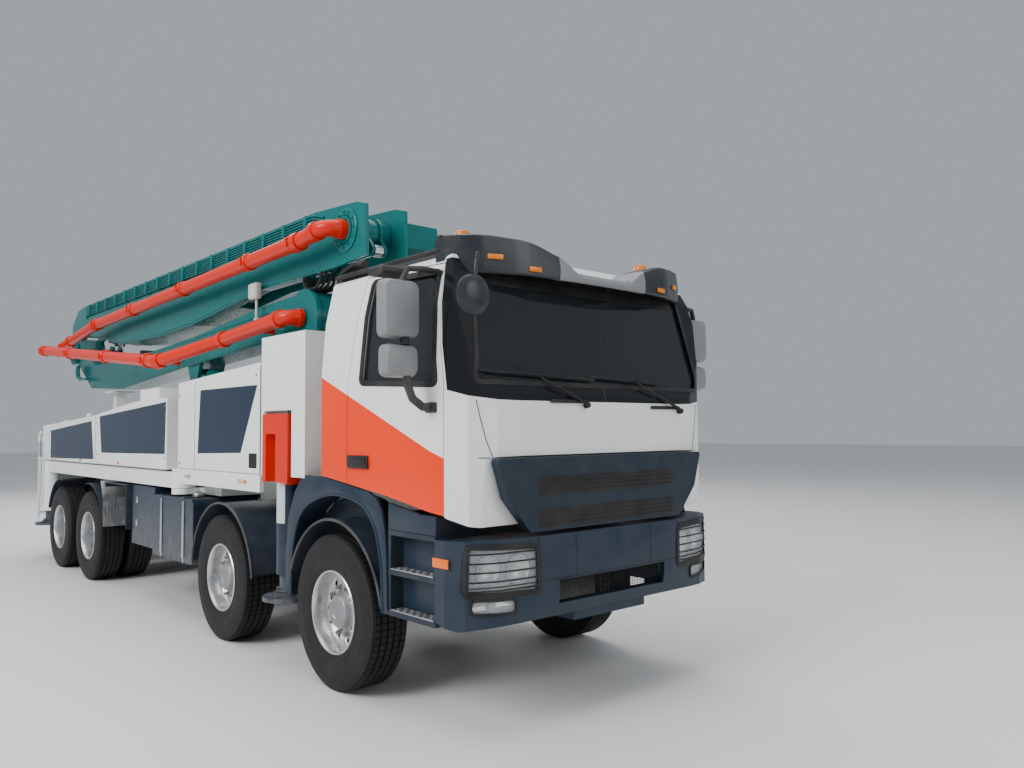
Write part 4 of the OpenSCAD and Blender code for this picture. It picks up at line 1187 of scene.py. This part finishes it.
@dataclass
class CabInside:
    """Seats, dashboard, wheel and tunnel seen through the glass."""

    seat_y: float = 620.0
    crown: float = 0.020
    seam_depth: float = 0.008
    seam_at: float = 0.62
    seam_width: float = 0.08
    dash: Corners = ((1080, 1985), (1110, 1700), (1440, 1700), (1440, 1955), (1300, 1990), (1180, 2010))
    hood: Corners = ((1050, 1960), (1090, 2050), (1230, 2075), (1290, 1990), (1120, 1940))
    wheel_tilt: float = 58.0
    wheel_radius: float = 0.215

    def swell(self, u: float, w: float) -> float:
        """How far a pad stands out at u and w, each from -1 to 1 over its face, seams let in."""
        return (self.crown * (1 - u * u) * (1 - w * w)
                - self.seam_depth * (abs(abs(u) - self.seam_at) < self.seam_width))

    def build(self) -> list:
        """Builds the cab's inside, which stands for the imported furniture."""
        hard = self.build_hard()
        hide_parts("cab_interior")
        made = [hard, self.build_wheel()]
        for side in Side:
            made += self.build_seat(side)
        return made

    def build_hard(self) -> bpy.types.Object:
        """Dashboard, tunnel, bunk wall and seat feet."""
        shape = Shape()
        shape.slab(self.dash, -1030, 2.06, 0.02)
        shape.slab(self.hood, 400, 0.44, 0.015)
        for y in (-700, -560, -120, 20, 160):
            shape.block(at(1070, y, 1860), at(1092, y + 110, 1930), 0.006)
        shape.block(at(1140, -330, 1315), at(1430, 330, 1705), 0.03)
        shape.block(at(-215, -260, 1570), at(1140, 260, 1612), 0.015)
        for sign in (-1, 1):
            y = sign * self.seat_y
            shape.block(at(120, y - 120, 1568), at(520, y + 120, 1632), 0.02)
            shape.rod(at(320, y, 1560), at(320, y, 1640), 0.09, sides=16)
        shape.block(at(-210, -1000, 2180), at(-190, 1000, 2240), 0.008)
        return piece("cab_fittings", shape.bm, "cab_trim", "chassis")

    def build_wheel(self) -> bpy.types.Object:
        """The steering wheel with its spokes, hub and column."""
        shape = Shape()
        tilt = math.radians(self.wheel_tilt)
        middle, axis = at(960, self.seat_y, 2010), Vector((-math.sin(tilt), 0, math.cos(tilt)))
        turn = frame_along(axis)
        ring = [middle + turn @ spoke(math.tau * k / 40) * self.wheel_radius for k in range(40)]
        shape.tube(ring, 0.015, 10, True)
        for deg in (90, 210, 330):
            way = turn @ spoke(math.radians(deg))
            shape.rod(middle + way * 0.03, middle + way * 0.208, 0.013, 0.010, 10)
        shape.rod(middle - axis * 0.022, middle + axis * 0.016, 0.052, 0.044, 24, 0.004)
        shape.rod(middle - axis * 0.02, at(1120, self.seat_y, 1910), 0.03, sides=16)
        return piece("steering_wheel", shape.bm, "cab_trim", "chassis")

    def build_seat(self, side: Side) -> list:
        """A crowned cushion, a back and a head rest in dark cloth."""
        y, made = side.value * self.seat_y, []
        rows = (("seat_cushion", (80, 575), (y - 250, y + 250), (1636, 1748), 0.045, 0.0),
                ("seat_back", (52, 165), (y - 235, y + 235), (1735, 2300), 0.045, -95.0),
                ("head_rest", (-30, 60), (y - 130, y + 130), (2250, 2395), 0.035, 0.0))
        for name, xs, ys, zs, edge, lean in rows:
            shape = Shape()
            shape.block(at(xs[0], ys[0], zs[0]), at(xs[1], ys[1], zs[1]), edge, 3)
            bmesh.ops.subdivide_edges(shape.bm, edges=list(shape.bm.edges), cuts=2, use_grid_fill=True)
            middle = at(sum(xs) / 2, sum(ys) / 2, sum(zs) / 2)
            for v in shape.bm.verts:
                u = (v.co.y - middle.y) / ((ys[1] - ys[0]) / 2 * MM)
                if name == "seat_cushion" and v.co.z > middle.z:
                    w = (v.co.x - middle.x) / ((xs[1] - xs[0]) / 2 * MM)
                    v.co.z += self.swell(u, w)
                elif name != "seat_cushion" and v.co.x > middle.x:
                    w = (v.co.z - middle.z) / ((zs[1] - zs[0]) / 2 * MM)
                    v.co.x += self.swell(u, w)
                v.co.x += lean * MM * (v.co.z - zs[0] * MM) / ((zs[1] - zs[0]) * MM)
            pad = piece(f"{name}_{side.tag}", shape.bm, "seat_cloth", "chassis")
            soft = pad.modifiers.new("round", "SUBSURF")
            soft.levels = soft.render_levels = 1
            made.append(pad)
        return made


class BumperSkin:
    """Where the bumper's front face lies, in millimetres from the first axle."""

    NOSE_BY_Z = [(660, 1540), (900, 1585), (1165, 1560)]
    NOSE_BY_Y = [(0, 1580), (620, 1565), (1000, 1520), (1180, 1440), (1246, 1330)]

    @classmethod
    def on(cls, y: float, z: float, proud: float = 0.0) -> Vector:
        """A point on the bumper's front, standing proud by that much."""
        return at(min(rise(cls.NOSE_BY_Z, z), rise(cls.NOSE_BY_Y, abs(y))) + proud, y, z)


@dataclass
class Front:
    """Lamps, guard bars, seams and grille mesh in the truck's nose."""

    lamp: Corners = ((690, 835), (1180, 850), (1170, 1130), (700, 1110))
    fog: Corners = ((860, 725), (1150, 740), (1150, 820), (860, 810))
    slots: Spots = ((1215, 1325, 655), (1415, 1525, 655))
    bulbs: Spots = ((820, 975, 92), (1030, 985, 88), (1010, 775, 32))
    intake: tuple[float, float, float] = (738, 878, 512)
    mesh_step: float = 17.0
    mesh_wire: float = 0.0045
    tread_z: tuple[float, float] = (931.0, 671.0)
    grille_line: Corners = ((760, 1210), (850, 1400), (920, 1530), (940, 1640))

    def build(self) -> list:
        """Builds both sides and the middle."""
        bezel, chrome, amber = Shape(), Shape(), Shape()
        for outline, width in ((self.lamp, 34), (self.fog, 18)):
            path = dense(rounded(list(outline), 34), 40)
            laid_ring(bezel, inward(path, -width * 0.55), width, Vector((0.010, 0, 0)),
                      lambda y, z: BumperSkin.on(y, z, -3))
        for k in range(5):
            z = 872 + k * 54
            bezel.tube([BumperSkin.on(684 + 50 * i, z, 16 if 0 < i < 10 else -4) for i in range(11)],
                       0.0055, 8)
        for y, z, r in self.bulbs:
            x = BumperSkin.on(y, z, -95)
            bowl = [(0.55 * r * MM, 0.012), (0.86 * r * MM, 0.034), (r * MM, 0.062), (0.98 * r * MM, 0.064)]
            chrome.turned([(0.012, 0.0), *bowl], x, Vector((1, 0, 0)), 28)
            chrome.ball(x + Vector((0.026, 0, 0)), r * 0.26 * MM)
        for z in (880, 925, 970, 1015, 1060):
            chrome.block(BumperSkin.on(1168, z, -60), BumperSkin.on(1150, z + 20, -20), 0.003)
        amber.block(at(1218, 1244, 1004), at(1370, 1252, 1060), 0.006)
        made = [piece("lamp_bezels", bezel.mirrored().bm, "rubber_black", "chassis"),
                piece("lamp_reflectors", chrome.mirrored().bm, "steel_bright", "chassis"),
                piece("side_markers", amber.mirrored().bm, "marker_orange", "chassis")]
        return made + [self.build_mesh(), self.build_seams(), self.build_steps()]

    def build_mesh(self) -> bpy.types.Object:
        """Fine mesh in the bumper's intake, and dark slots with slats in the grille."""
        shape = Shape()
        for low, high, half in (*self.slots, self.intake):
            x = 1496 if low > 1000 else 1512
            turn = Matrix.Rotation(math.pi / 2, 4, "Y")
            size = Matrix.Diagonal(((high - low) / 2 * MM, half * MM, 1.0, 1.0))
            place = Matrix.Translation(at(x, 0, (low + high) / 2)) @ turn @ size
            cells = int((high - low) / self.mesh_step), int(half * 2 / self.mesh_step)
            made = bmesh.ops.create_grid(shape.bm, x_segments=cells[0], y_segments=cells[1], size=1.0,
                                         matrix=place)["verts"]
            faces = list({f for v in made for f in v.link_faces})
            bmesh.ops.wireframe(shape.bm, faces=faces, thickness=self.mesh_wire, use_replace=True,
                                use_boundary=True)
        for low, high, half in self.slots:
            for sign in (-1, 1):
                outline = rounded([(0, low - 4), (half + 4, low - 4), (half + 44, high + 4), (0, high + 4)], 14)
                shape.plate([at(1536, sign * y, z) for y, z in outline], Vector((0.0085, 0, 0)), 0.001)
            for k in range(4):
                z = low + (high - low) * (k + 0.5) / 4
                shape.block(at(1540, -half, z - 5), at(1549, half, z + 5), 0.003)
        return piece("grille_mesh", shape.bm, "rubber_black", "chassis")

    def build_seams(self) -> bpy.types.Object:
        """Dark joints between the bumper's segments and lines on the grille."""
        shape = Shape()
        for sign in (-1, 1):
            for y in (370, 690):
                shape.tube([BumperSkin.on(sign * y, z, 0.5) for z in (892, 930, 1000, 1080, 1152)], 0.0032, 6)
            shape.tube([CabSkin.on_nose(sign * y, z, 27) for y, z in self.grille_line], 0.003, 6)
        rows = [-1200 + 80 * k for k in range(31)]
        shape.tube([BumperSkin.on(y, 890, 1.0) for y in rows], 0.003, 6)
        return piece("bumper_seams", shape.bm, "rubber_black", "chassis")

    def build_steps(self) -> bpy.types.Object:
        """Chequered treads on the steps behind the bumper."""
        shape = Shape()
        for z in self.tread_z:
            shape.block(at(740, 1136, z), at(1200, 1232, z + 8), 0.002)
            for i in range(12):
                for k in range(3):
                    middle = at(762 + i * 35, 1152 + k * 32, z + 8)
                    shape.ball(middle, 0.0085, (1.5, 0.5, 0.32) if (i + k) % 2 else (0.5, 1.5, 0.32), 8)
        return piece("step_plates", shape.mirrored().bm, "steel_bright", "chassis")


@dataclass
class BodySides:
    """Edges, markers, straps, caps and bright rails along both sides."""

    marker_x: tuple[float, ...] = (-1439.0, -2750.0, -4851.0, -6400.0, -7700.0)
    fender_outer: Corners = (
        (-705, 585), (-702, 900), (-665, 1160), (-560, 1360), (-440, 1492), (-150, 1490), (300, 1438),
        (480, 1412), (575, 1375), (640, 1300), (680, 1180), (700, 1000), (704, 850), (712, 640))
    fender_inner: Corners = (
        (655, 640), (648, 854), (625, 1000), (575, 1150), (500, 1250), (390, 1325), (178, 1365), (-60, 1362),
        (-323, 1290), (-480, 1180), (-560, 1020), (-600, 845), (-612, 585))
    skirt: Corners = ((712, 1180), (1224, 1180), (1224, 1300), (1050, 1300), (1040, 1306), (712, 1352))
    rear_rail: Corners = (
        (-8820, 1452), (-8820, 1800), (-8810, 1828), (-8782, 1841), (-8598, 1841), (-8570, 1828), (-8560, 1800),
        (-8560, 1452))
    arch_edge: float = 0.650
    jack_y: float = 1120.0
    guard_y: tuple[float, float] = (0.872, 1.233)
    wheel_gap: float = 0.075
    filler_cap: Corners = ((0, 0), (52, 0), (56, 12), (55, 34), (48, 44), (12, 46), (0, 46))
    panel_y: float = 1241.0
    joints: tuple[tuple[float, float, float, float], ...] = (
        (-1160, 1475, -1160, 2360), (-2560, 1475, -2560, 2290), (-5765, 1460, -5765, 2030),
        (-2980, 1471, -1170, 1471))
    screws: Corners = (
        (-2940, 2180), (-2940, 1520), (-1240, 2290), (-5690, 1560), (-5690, 1940), (-3360, 1560), (-3360, 2090),
        (-7960, 1560), (-7960, 1840))

    def build(self) -> list:
        """Builds the pieces along the sides."""
        return [self.build_markers(), self.build_arch_edges(), self.build_fenders(), self.build_tank(),
                self.build_guard(), self.build_rails(), self.build_deck_things(), self.build_seams(),
                *self.build_jacks()]

    def build_markers(self) -> bpy.types.Object:
        """Small orange side markers."""
        shape = Shape()
        for x in self.marker_x:
            z = 1400 if x > -3000 else 1475
            shape.block(at(x - 34, 1238, z - 14), at(x + 34, 1249, z + 14), 0.006)
        return piece("body_markers", shape.mirrored().bm, "marker_orange", "chassis")

    def build_arch_edges(self) -> bpy.types.Object:
        """Rolled edges that follow the front wheel arches."""
        shape = Shape()
        for node, low in (("wheel_1r", 12), ("wheel_2r", 6)):
            lo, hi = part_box(node)
            middle = Vector(((lo[0] + hi[0]) / 2, 1.236, HUB_HEIGHT * MM))
            ways = [spoke(math.radians(a)) * self.arch_edge for a in range(low, 181 - low, 6)]
            shape.tube([middle + Vector((way.x, 0.0, way.y)) for way in ways], 0.011, 8)
        return piece("arch_edges", shape.mirrored().bm, "edge_rubber", "chassis")

    def build_fenders(self) -> bpy.types.Object:
        """The panels between the front wheel and the cab, with a rolled edge, a liner and the skirt."""
        shape = Shape()
        inner = list(self.fender_inner)
        rim = smoothed(inner)
        shape.slab(list(self.fender_outer) + inner, 1212, 0.026, 0.004)
        shape.line(rim, 1236, 0.010, 8)
        for (x0, z0), (x1, z1) in zip(rim, rim[1:]):
            shape.plate([at(x0, 1020, z0), at(x0, 1215, z0), at(x1, 1215, z1), at(x1, 1020, z1)],
                        Vector((0, 0, 0.006)))
        shape.block(at(735, 1110, 670), at(1205, 1134, 1185), 0.006)
        ways = [spoke(math.radians(a)) * ARCH_RADIUS for a in range(140, 27, -8)]
        liner = inner[1:11] + [(way.x, HUB_HEIGHT + way.y) for way in ways]
        shape.slab(liner, 1016, 0.006)
        shape.slab(self.skirt, 1200, 0.030, 0.004)
        return piece("fender_panels", shape.mirrored().bm, "bumper_blue", "chassis")

    def build_tank(self) -> bpy.types.Object:
        """Bright straps, a filler cap and box latches."""
        shape = Shape()
        for x in (-3480, -2880):
            shape.block(at(x - 22, 1217, 600), at(x + 22, 1226, 1150), 0.002)
            shape.rod(at(x, 1215, 610), at(x, 1215, 560), 0.009, sides=8)
        cap = at(-2960, 1040, 1178)
        shape.turned(in_metres(self.filler_cap), cap, UP, 28)
        shape.block(cap + Vector((-0.045, -0.008, 0.044)), cap + Vector((0.045, 0.008, 0.06)), 0.004)
        for z in (800, 1050):
            shape.block(at(-4340, 1188, z), at(-4290, 1200, z + 70), 0.004)
        return piece("tank_straps", shape.mirrored().bm, "steel_bright", "chassis")

    def build_guard(self) -> bpy.types.Object:
        """Chequered plate in front of the rear wheels."""
        shape = Shape()
        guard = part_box("wheel_3r")[1][0] + self.wheel_gap
        y0, y1 = self.guard_y
        rows = [(guard + 0.014, 0.700), (guard - 0.003, 1.040), (guard - 0.106, 1.236)]
        for (x0, z0), (x1, z1) in zip(rows, rows[1:]):
            corners = ((x0, y0, z0), (x0, y1, z0), (x1, y1, z1), (x1, y0, z1))
            shape.plate([Vector(corner) for corner in corners], Vector((0.004, 0, 0.001)))
            steps = int(math.dist((x0, z0), (x1, z1)) / 0.034)
            for i in range(steps):
                t = (i + 0.5) / steps
                for k in range(10):
                    spot = Vector((x0 + (x1 - x0) * t + 0.005, y0 + 0.02 + k * 0.036, z0 + (z1 - z0) * t))
                    shape.ball(spot, 0.0075, (0.35, 1.5, 0.5) if (i + k) % 2 else (0.35, 0.5, 1.5), 8)
        return piece("guard_plates", shape.mirrored().bm, "steel_bright", "chassis")

    def build_rails(self) -> bpy.types.Object:
        """Bright sleeves over the rear hand rails and ladder rungs."""
        shape = Shape()
        shape.line(self.rear_rail, 1190, 0.0195, 12)
        for z in (620, 870, 1120, 1370):
            shape.block(at(-8793, 828, z + 24), at(-8747, 1182, z + 33), 0.003)
            for k in range(9):
                shape.block(at(-8790, 840 + k * 38, z + 31), at(-8750, 852 + k * 38, z + 38), 0.002)
        return piece("rear_rails", shape.mirrored().bm, "steel_bright", "chassis")

    def build_deck_things(self) -> bpy.types.Object:
        """Small domes on the deck panels, one of them on a stem."""
        shape = Shape()
        for x, z, r in ((-7611, 1915, 45), (-6423, 1985, 60)):
            dome = [(0.0, 0.0), (r * MM, 0.0), (r * MM, 0.05), (r * 0.8 * MM, 0.085), (0.0, 0.1)]
            shape.turned(dome, at(x, 1120, z), UP, 24)
        shape.rod(at(-6423, 1120, 1890), at(-6423, 1120, 1995), 0.02, sides=12)
        return piece("deck_domes", shape.mirrored().bm, "cream_plastic", "chassis")

    def build_seams(self) -> bpy.types.Object:
        """Panel joints of the fairings and the tower."""
        shape = Shape()
        for x0, z0, x1, z1 in self.joints:
            shape.line([(x0, z0), ((x0 + x1) / 2, (z0 + z1) / 2), (x1, z1)], self.panel_y, 0.0028, 6)
        for x, z in self.screws:
            shape.rod(at(x, 1238, z), at(x, 1245, z), 0.012, sides=12, edge=0.002)
        return piece("panel_seams", shape.mirrored().bm, "seam_grey", "chassis")

    def build_jacks(self) -> list:
        """Wear rings on the jacks' rods and round pads with ribs."""
        made = []
        ring = [(0.080, 0.0), (0.100, 0.0), (0.104, 0.006), (0.102, 0.018), (0.080, 0.020)]
        for name, x in (("front_jack", -860), ("rear_jack", -8320)):
            for side in Side:
                shape, y = Shape(), side.value * self.jack_y
                shape.turned(ring, at(x, y, 562), UP, 32)
                for k in range(6):
                    foot, way = at(x, y, 531), spoke(math.tau * k / 6)
                    shape.rod(foot + way * 0.11, foot + way * 0.195 + UP * 0.002, 0.014, 0.006, 8)
                made.append(piece(f"{name}_ribs_{side.tag}", shape.bm, "jack_steel", f"{name}_{side.tag}"))
        return made


@dataclass
class BoomDress:
    """Couplings on the pipes, tube racks, hoses and knee covers."""

    pipe_r: float = 70.0
    tube_z: float = 3625.0
    tube_step: float = 26.0
    clamps: int = 17
    clamp_step: float = 430.0

    def coupling(self, shape: Shape, middle: Vector, axis: Vector) -> None:
        """A two-shell coupling with its bolts."""
        r = self.pipe_r * MM
        half = [(0.001, 0.034), (0.008, 0.034), (0.015, 0.026), (0.015, 0.008)]
        rows = [(r + up, -out) for up, out in half] + [(r + 0.010, 0.0)]
        rows += [(r + up, out) for up, out in reversed(half)]
        shape.turned(rows, middle, axis, 36)
        turn = frame_along(axis)
        for sign in (-1, 1):
            lug = middle + turn @ Vector((0, sign * (r + 0.020), 0))
            across = turn @ Vector((1.0, 0.0, 0.0))
            shape.rod(lug - across * 0.034, lug + across * 0.034, 0.010, sides=8)
            for end in (-1, 1):
                shape.rod(lug + across * end * 0.020, lug + across * end * 0.034, 0.019, sides=6)

    def build(self) -> list:
        """Builds the dress of every arm."""
        made = [*self.build_couplings(), self.build_rack(), self.build_knee(), self.build_hoses(),
                self.build_lamp(), self.build_guards()]
        return made + self.build_edges()

    def build_couplings(self) -> list:
        """Couplings at the joints of the first two pipes."""
        first, second = Shape(), Shape()
        cross, end = Vector((-4100, -1070, 2600)), Vector((-9350, -1070, 3120))
        way = (end - cross).normalized()
        for t in (0.06, 0.36, 0.68, 0.95):
            p = cross + (end - cross) * t
            self.coupling(first, at(*p), way)
        one = piece("couplings_1", first.bm, "pipe_orange", "arm_1")
        a, b = Vector((-7400, -820, 3350)), Vector((-1300, -820, 3480))
        for t in (0.02, 0.27, 0.55, 0.83, 0.985):
            self.coupling(second, at(*(a + (b - a) * t)), (b - a).normalized())
        self.coupling(second, at(-9000, -820, 3179), Vector((650, 0, 108)))
        return [one, piece("couplings_2", second.bm, "pipe_orange", "arm_2")]

    def build_rack(self) -> bpy.types.Object:
        """Hydraulic tubes in clamps along the second arm."""
        shape = Shape()
        for k in range(6):
            z = self.tube_z + k * self.tube_step
            shape.tube([at(-8650, -622, z - 40), at(-8540, -640, z), at(-5000, -640, z), at(-1400, -640, z),
                        at(-1240, -622, z - 40)], 0.0095, 8)
        for i in range(self.clamps):
            x = -8410 + i * self.clamp_step
            shape.block(at(x - 24, -616, 3607), at(x + 24, -662, 3777), 0.006)
        return piece("tube_rack", shape.bm, "boom_teal", "arm_2")

    def build_knee(self) -> bpy.types.Object:
        """Rings and bolts round the knee's pin."""
        shape = Shape()
        for x, z, r0, r1 in ((-870, 3530, 0.120, 0.190), (-9350, 3120, 0.100, 0.170)):
            pin = at(x, -619, z)
            rows = [(r0, 0.0), (r1, 0.0), (r1, 0.012), (r1 - 0.012, 0.020), (r0 + 0.01, 0.020), (r0, 0.012)]
            shape.turned([*rows, rows[0]], pin, OUT_RIGHT, 48)
            for k in range(12):
                way = Vector((math.cos(math.tau * k / 12), 0, math.sin(math.tau * k / 12))) * (r0 + r1) / 2
                shape.rod(pin + way, pin + way + OUT_RIGHT * 0.030, 0.011, sides=6)
        return piece("knee_rings", shape.bm, "boom_teal", "arm_2")

    def build_hoses(self) -> bpy.types.Object:
        """Short black hoses between the tube ends on one arm."""
        shape = Shape()
        for k in range(5):
            y = -600 + k * 46
            pts = [(-1640 - k * 34, 3255), (-1650 - k * 34, 3190), (-1600 - k * 30, 3130),
                   (-1480 - k * 18, 3110), (-1370, 3140), (-1320, 3235)]
            shape.line(smoothed(pts), y, 0.013, 8)
        for k in range(4):
            pts = [(-8500 - k * 30, 3370), (-8560 - k * 30, 3290), (-8640 - k * 26, 3260),
                   (-8740 - k * 20, 3290), (-8800 - k * 10, 3400)]
            shape.line(smoothed(pts), -632 - k * 4, 0.012, 8)
        return piece("arm_hoses", shape.bm, "rubber_black", "arm_2")

    def build_lamp(self) -> bpy.types.Object:
        """A work lamp on its post beside the first arm."""
        shape = Shape()
        shape.block(at(-2590, -715, 3130), at(-2420, -650, 3290), 0.014)
        shape.block(at(-2575, -722, 3145), at(-2435, -714, 3275), 0.003)
        shape.rod(at(-2505, -664, 2940), at(-2505, -664, 3132), 0.014, sides=12)
        shape.block(at(-2530, -684, 2915), at(-2480, -576, 2945), 0.006)
        return piece("work_lamp", shape.bm, "cream_plastic", "arm_1")

    def build_guards(self) -> bpy.types.Object:
        """Bent guard tubes at the boom's rear end."""
        shape = Shape()
        for k, x in enumerate((-9020, -8930, -8840)):
            pts = [(x, 2870), (x - 40, 2780), (x + 30, 2690), (x + 190, 2650), (x + 420, 2640)]
            shape.tube([at(px, -640 - 10 * k, z) for px, z in smoothed(pts)], 0.019, 10)
        return piece("guard_tubes", shape.bm, "boom_teal", "arm_1")

    def build_edges(self) -> list:
        """Weld seams along the arms' side plates, one piece for each arm."""
        lines = (
            ("arm_1", (-582, -238), ((-2420, 2990), (-4300, 2905), (-6500, 2805), (-8200, 2815))),
            ("arm_1", (-582, -238), ((-2420, 2725), (-4400, 2625), (-7000, 2455), (-8350, 2520))),
            ("arm_2", (-622, -198), ((-8700, 3760), (-1450, 3760))),
            ("arm_2", (-622, -198), ((-1450, 3262), (-2500, 3258), (-4300, 3090), (-5400, 3050),
                                     (-7000, 3090), (-8400, 3300))),
            ("arm_3", (222,), ((-8700, 3660), (-1200, 3655))),
            ("arm_4", (602,), ((-8800, 3610), (-1300, 3610))),
            ("arm_5", (922,), ((-1300, 3570), (-8400, 3570))),
        )
        made = []
        for body in ("arm_1", "arm_2", "arm_3", "arm_4", "arm_5"):
            shape = Shape()
            for name, sides, pts in lines:
                for y in sides if name == body else ():
                    shape.line(pts, y, 0.006, 6)
            made.append(piece(f"welds_{body}", shape.bm, "boom_teal", body))
        return made


def smoothed(points: Outline, steps: int = 4) -> Outline:
    """Rounds an open path with a Catmull-Rom curve through its points."""
    out = []
    for i in range(len(points) - 1):
        p = [Vector(points[max(0, min(len(points) - 1, i + k))]) for k in (-1, 0, 1, 2)]
        for s in range(steps):
            t = s / steps
            q = 0.5 * (2 * p[1] + (p[2] - p[0]) * t + (2 * p[0] - 5 * p[1] + 4 * p[2] - p[3]) * t ** 2
                       + (3 * p[1] - p[0] - 3 * p[2] + p[3]) * t ** 3)
            out.append((q.x, q.y))
    return out + [points[-1]]


@dataclass
class Rear:
    """Tail lamps, reflectors and the hopper's rubber lip."""

    def build(self) -> list:
        """Builds the rear pieces."""
        red, amber, rubber = Shape(), Shape(), Shape()
        for y0, y1, book in ((648, 770, red), (780, 860, amber), (870, 952, red)):
            book.block(at(-8592, y0, 908), at(-8580, y1, 992), 0.006)
        for z in (1200, 1320):
            red.block(at(-8794, 1185, z), at(-8790, 1205, z + 60), 0.003)
        lip = [(-9750, 1441), (-9750, 1475), (-9742, 1500), (-9735, 1500), (-9736, 1475), (-9736, 1441)]
        rubber.slab(lip, -760, 1.52)
        for sign in (-1, 1):
            side = [(-9740, 1441), (-9740, 1490), (-8700, 1490), (-8650, 1441)]
            rubber.slab(side, sign * 768, -sign * 0.012)
        return [piece("tail_red", red.mirrored().bm, "reflector_red", "chassis"),
                piece("tail_amber", amber.mirrored().bm, "beacon_amber", "chassis"),
                piece("hopper_lip", rubber.bm, "edge_rubber", "chassis")]


@dataclass
class Studio:
    """Floor, lights and the camera at the photo's place."""

    place: tuple[float, float, float] = (9.353, -4.229, 1.820)
    look: tuple[float, float, float] = (-0.74440, 0.66547, 0.05498)
    right: tuple[float, float, float] = (0.66614, 0.74579, -0.00773)
    focal_px: float = 829.4
    image_px: float = 1024.0
    lights: tuple = field(default=(
        ("key", (4.0, -15.0, 11.0), 9.0, 2900.0),
        ("front", (17.0, 3.0, 8.0), 8.0, 700.0),
        ("sky", (0.0, 0.0, 15.0), 16.0, 1700.0),
        ("back", (-14.0, 8.0, 9.0), 9.0, 1200.0),
    ))

    def build(self) -> None:
        """Builds the floor, the lights and the camera."""
        self.build_floor()
        self.build_lights()
        self.build_camera()

    def build_floor(self) -> None:
        """A flat pale floor, wide enough for every view."""
        g = Graph("floor_pale")
        rough = g.scaled(g.noise(0.8, 3.0), 0.55, 0.7)
        g.surface((0.74, 0.74, 0.735), rough)
        bm = bmesh.new()
        bmesh.ops.create_grid(bm, x_segments=1, y_segments=1, size=80.0)
        mesh = bpy.data.meshes.new("floor")
        bm.to_mesh(mesh)
        bm.free()
        mesh.materials.append(g.material)
        placed("floor", mesh)

    def build_lights(self) -> None:
        """Soft area lights round the truck and a pale world."""
        for name, place, size, power in self.lights:
            lamp = bpy.data.lights.new(name, "AREA")
            lamp.size = size
            lamp.energy = power
            obj = placed(name, lamp)
            obj.location = place
            aim = Vector((0.0, 0.0, 1.5)) - Vector(place)
            obj.rotation_mode = "QUATERNION"
            obj.rotation_quaternion = aim.to_track_quat("-Z", "Y")
        world = bpy.data.worlds.new("studio")
        world.use_nodes = True
        back = world.node_tree.nodes["Background"]
        back.inputs["Color"].default_value = (0.80, 0.86, 0.93, 1.0)
        back.inputs["Strength"].default_value = 0.5
        bpy.context.scene.world = world

    def build_camera(self) -> None:
        """The camera, placed as the fit to the photo gave it."""
        cam = bpy.data.cameras.new("photo_view")
        cam.sensor_width = 36.0
        cam.lens = self.focal_px / self.image_px * cam.sensor_width
        cam.clip_end = 300.0
        obj = placed("photo_view", cam)
        look, right = Vector(self.look).normalized(), Vector(self.right).normalized()
        up = right.cross(look)
        obj.matrix_world = Matrix.Translation(self.place) @ Matrix((right, up, -look)).transposed().to_4x4()
        bpy.context.scene.camera = obj


def main() -> None:
    """Builds every class in order and reports its pieces."""
    logging.basicConfig(level=logging.INFO, format="%(message)s")
    dress_nodes()
    Studio().build()
    for group in (Wheels(), CabTrim(), CabRoof(), CabInside(), Front(), BodySides(), BoomDress(), Rear()):
        made = group.build()
        LOG.info("%s: %d pieces", type(group).__name__, len(made))


if __name__ == "__main__":
    main()
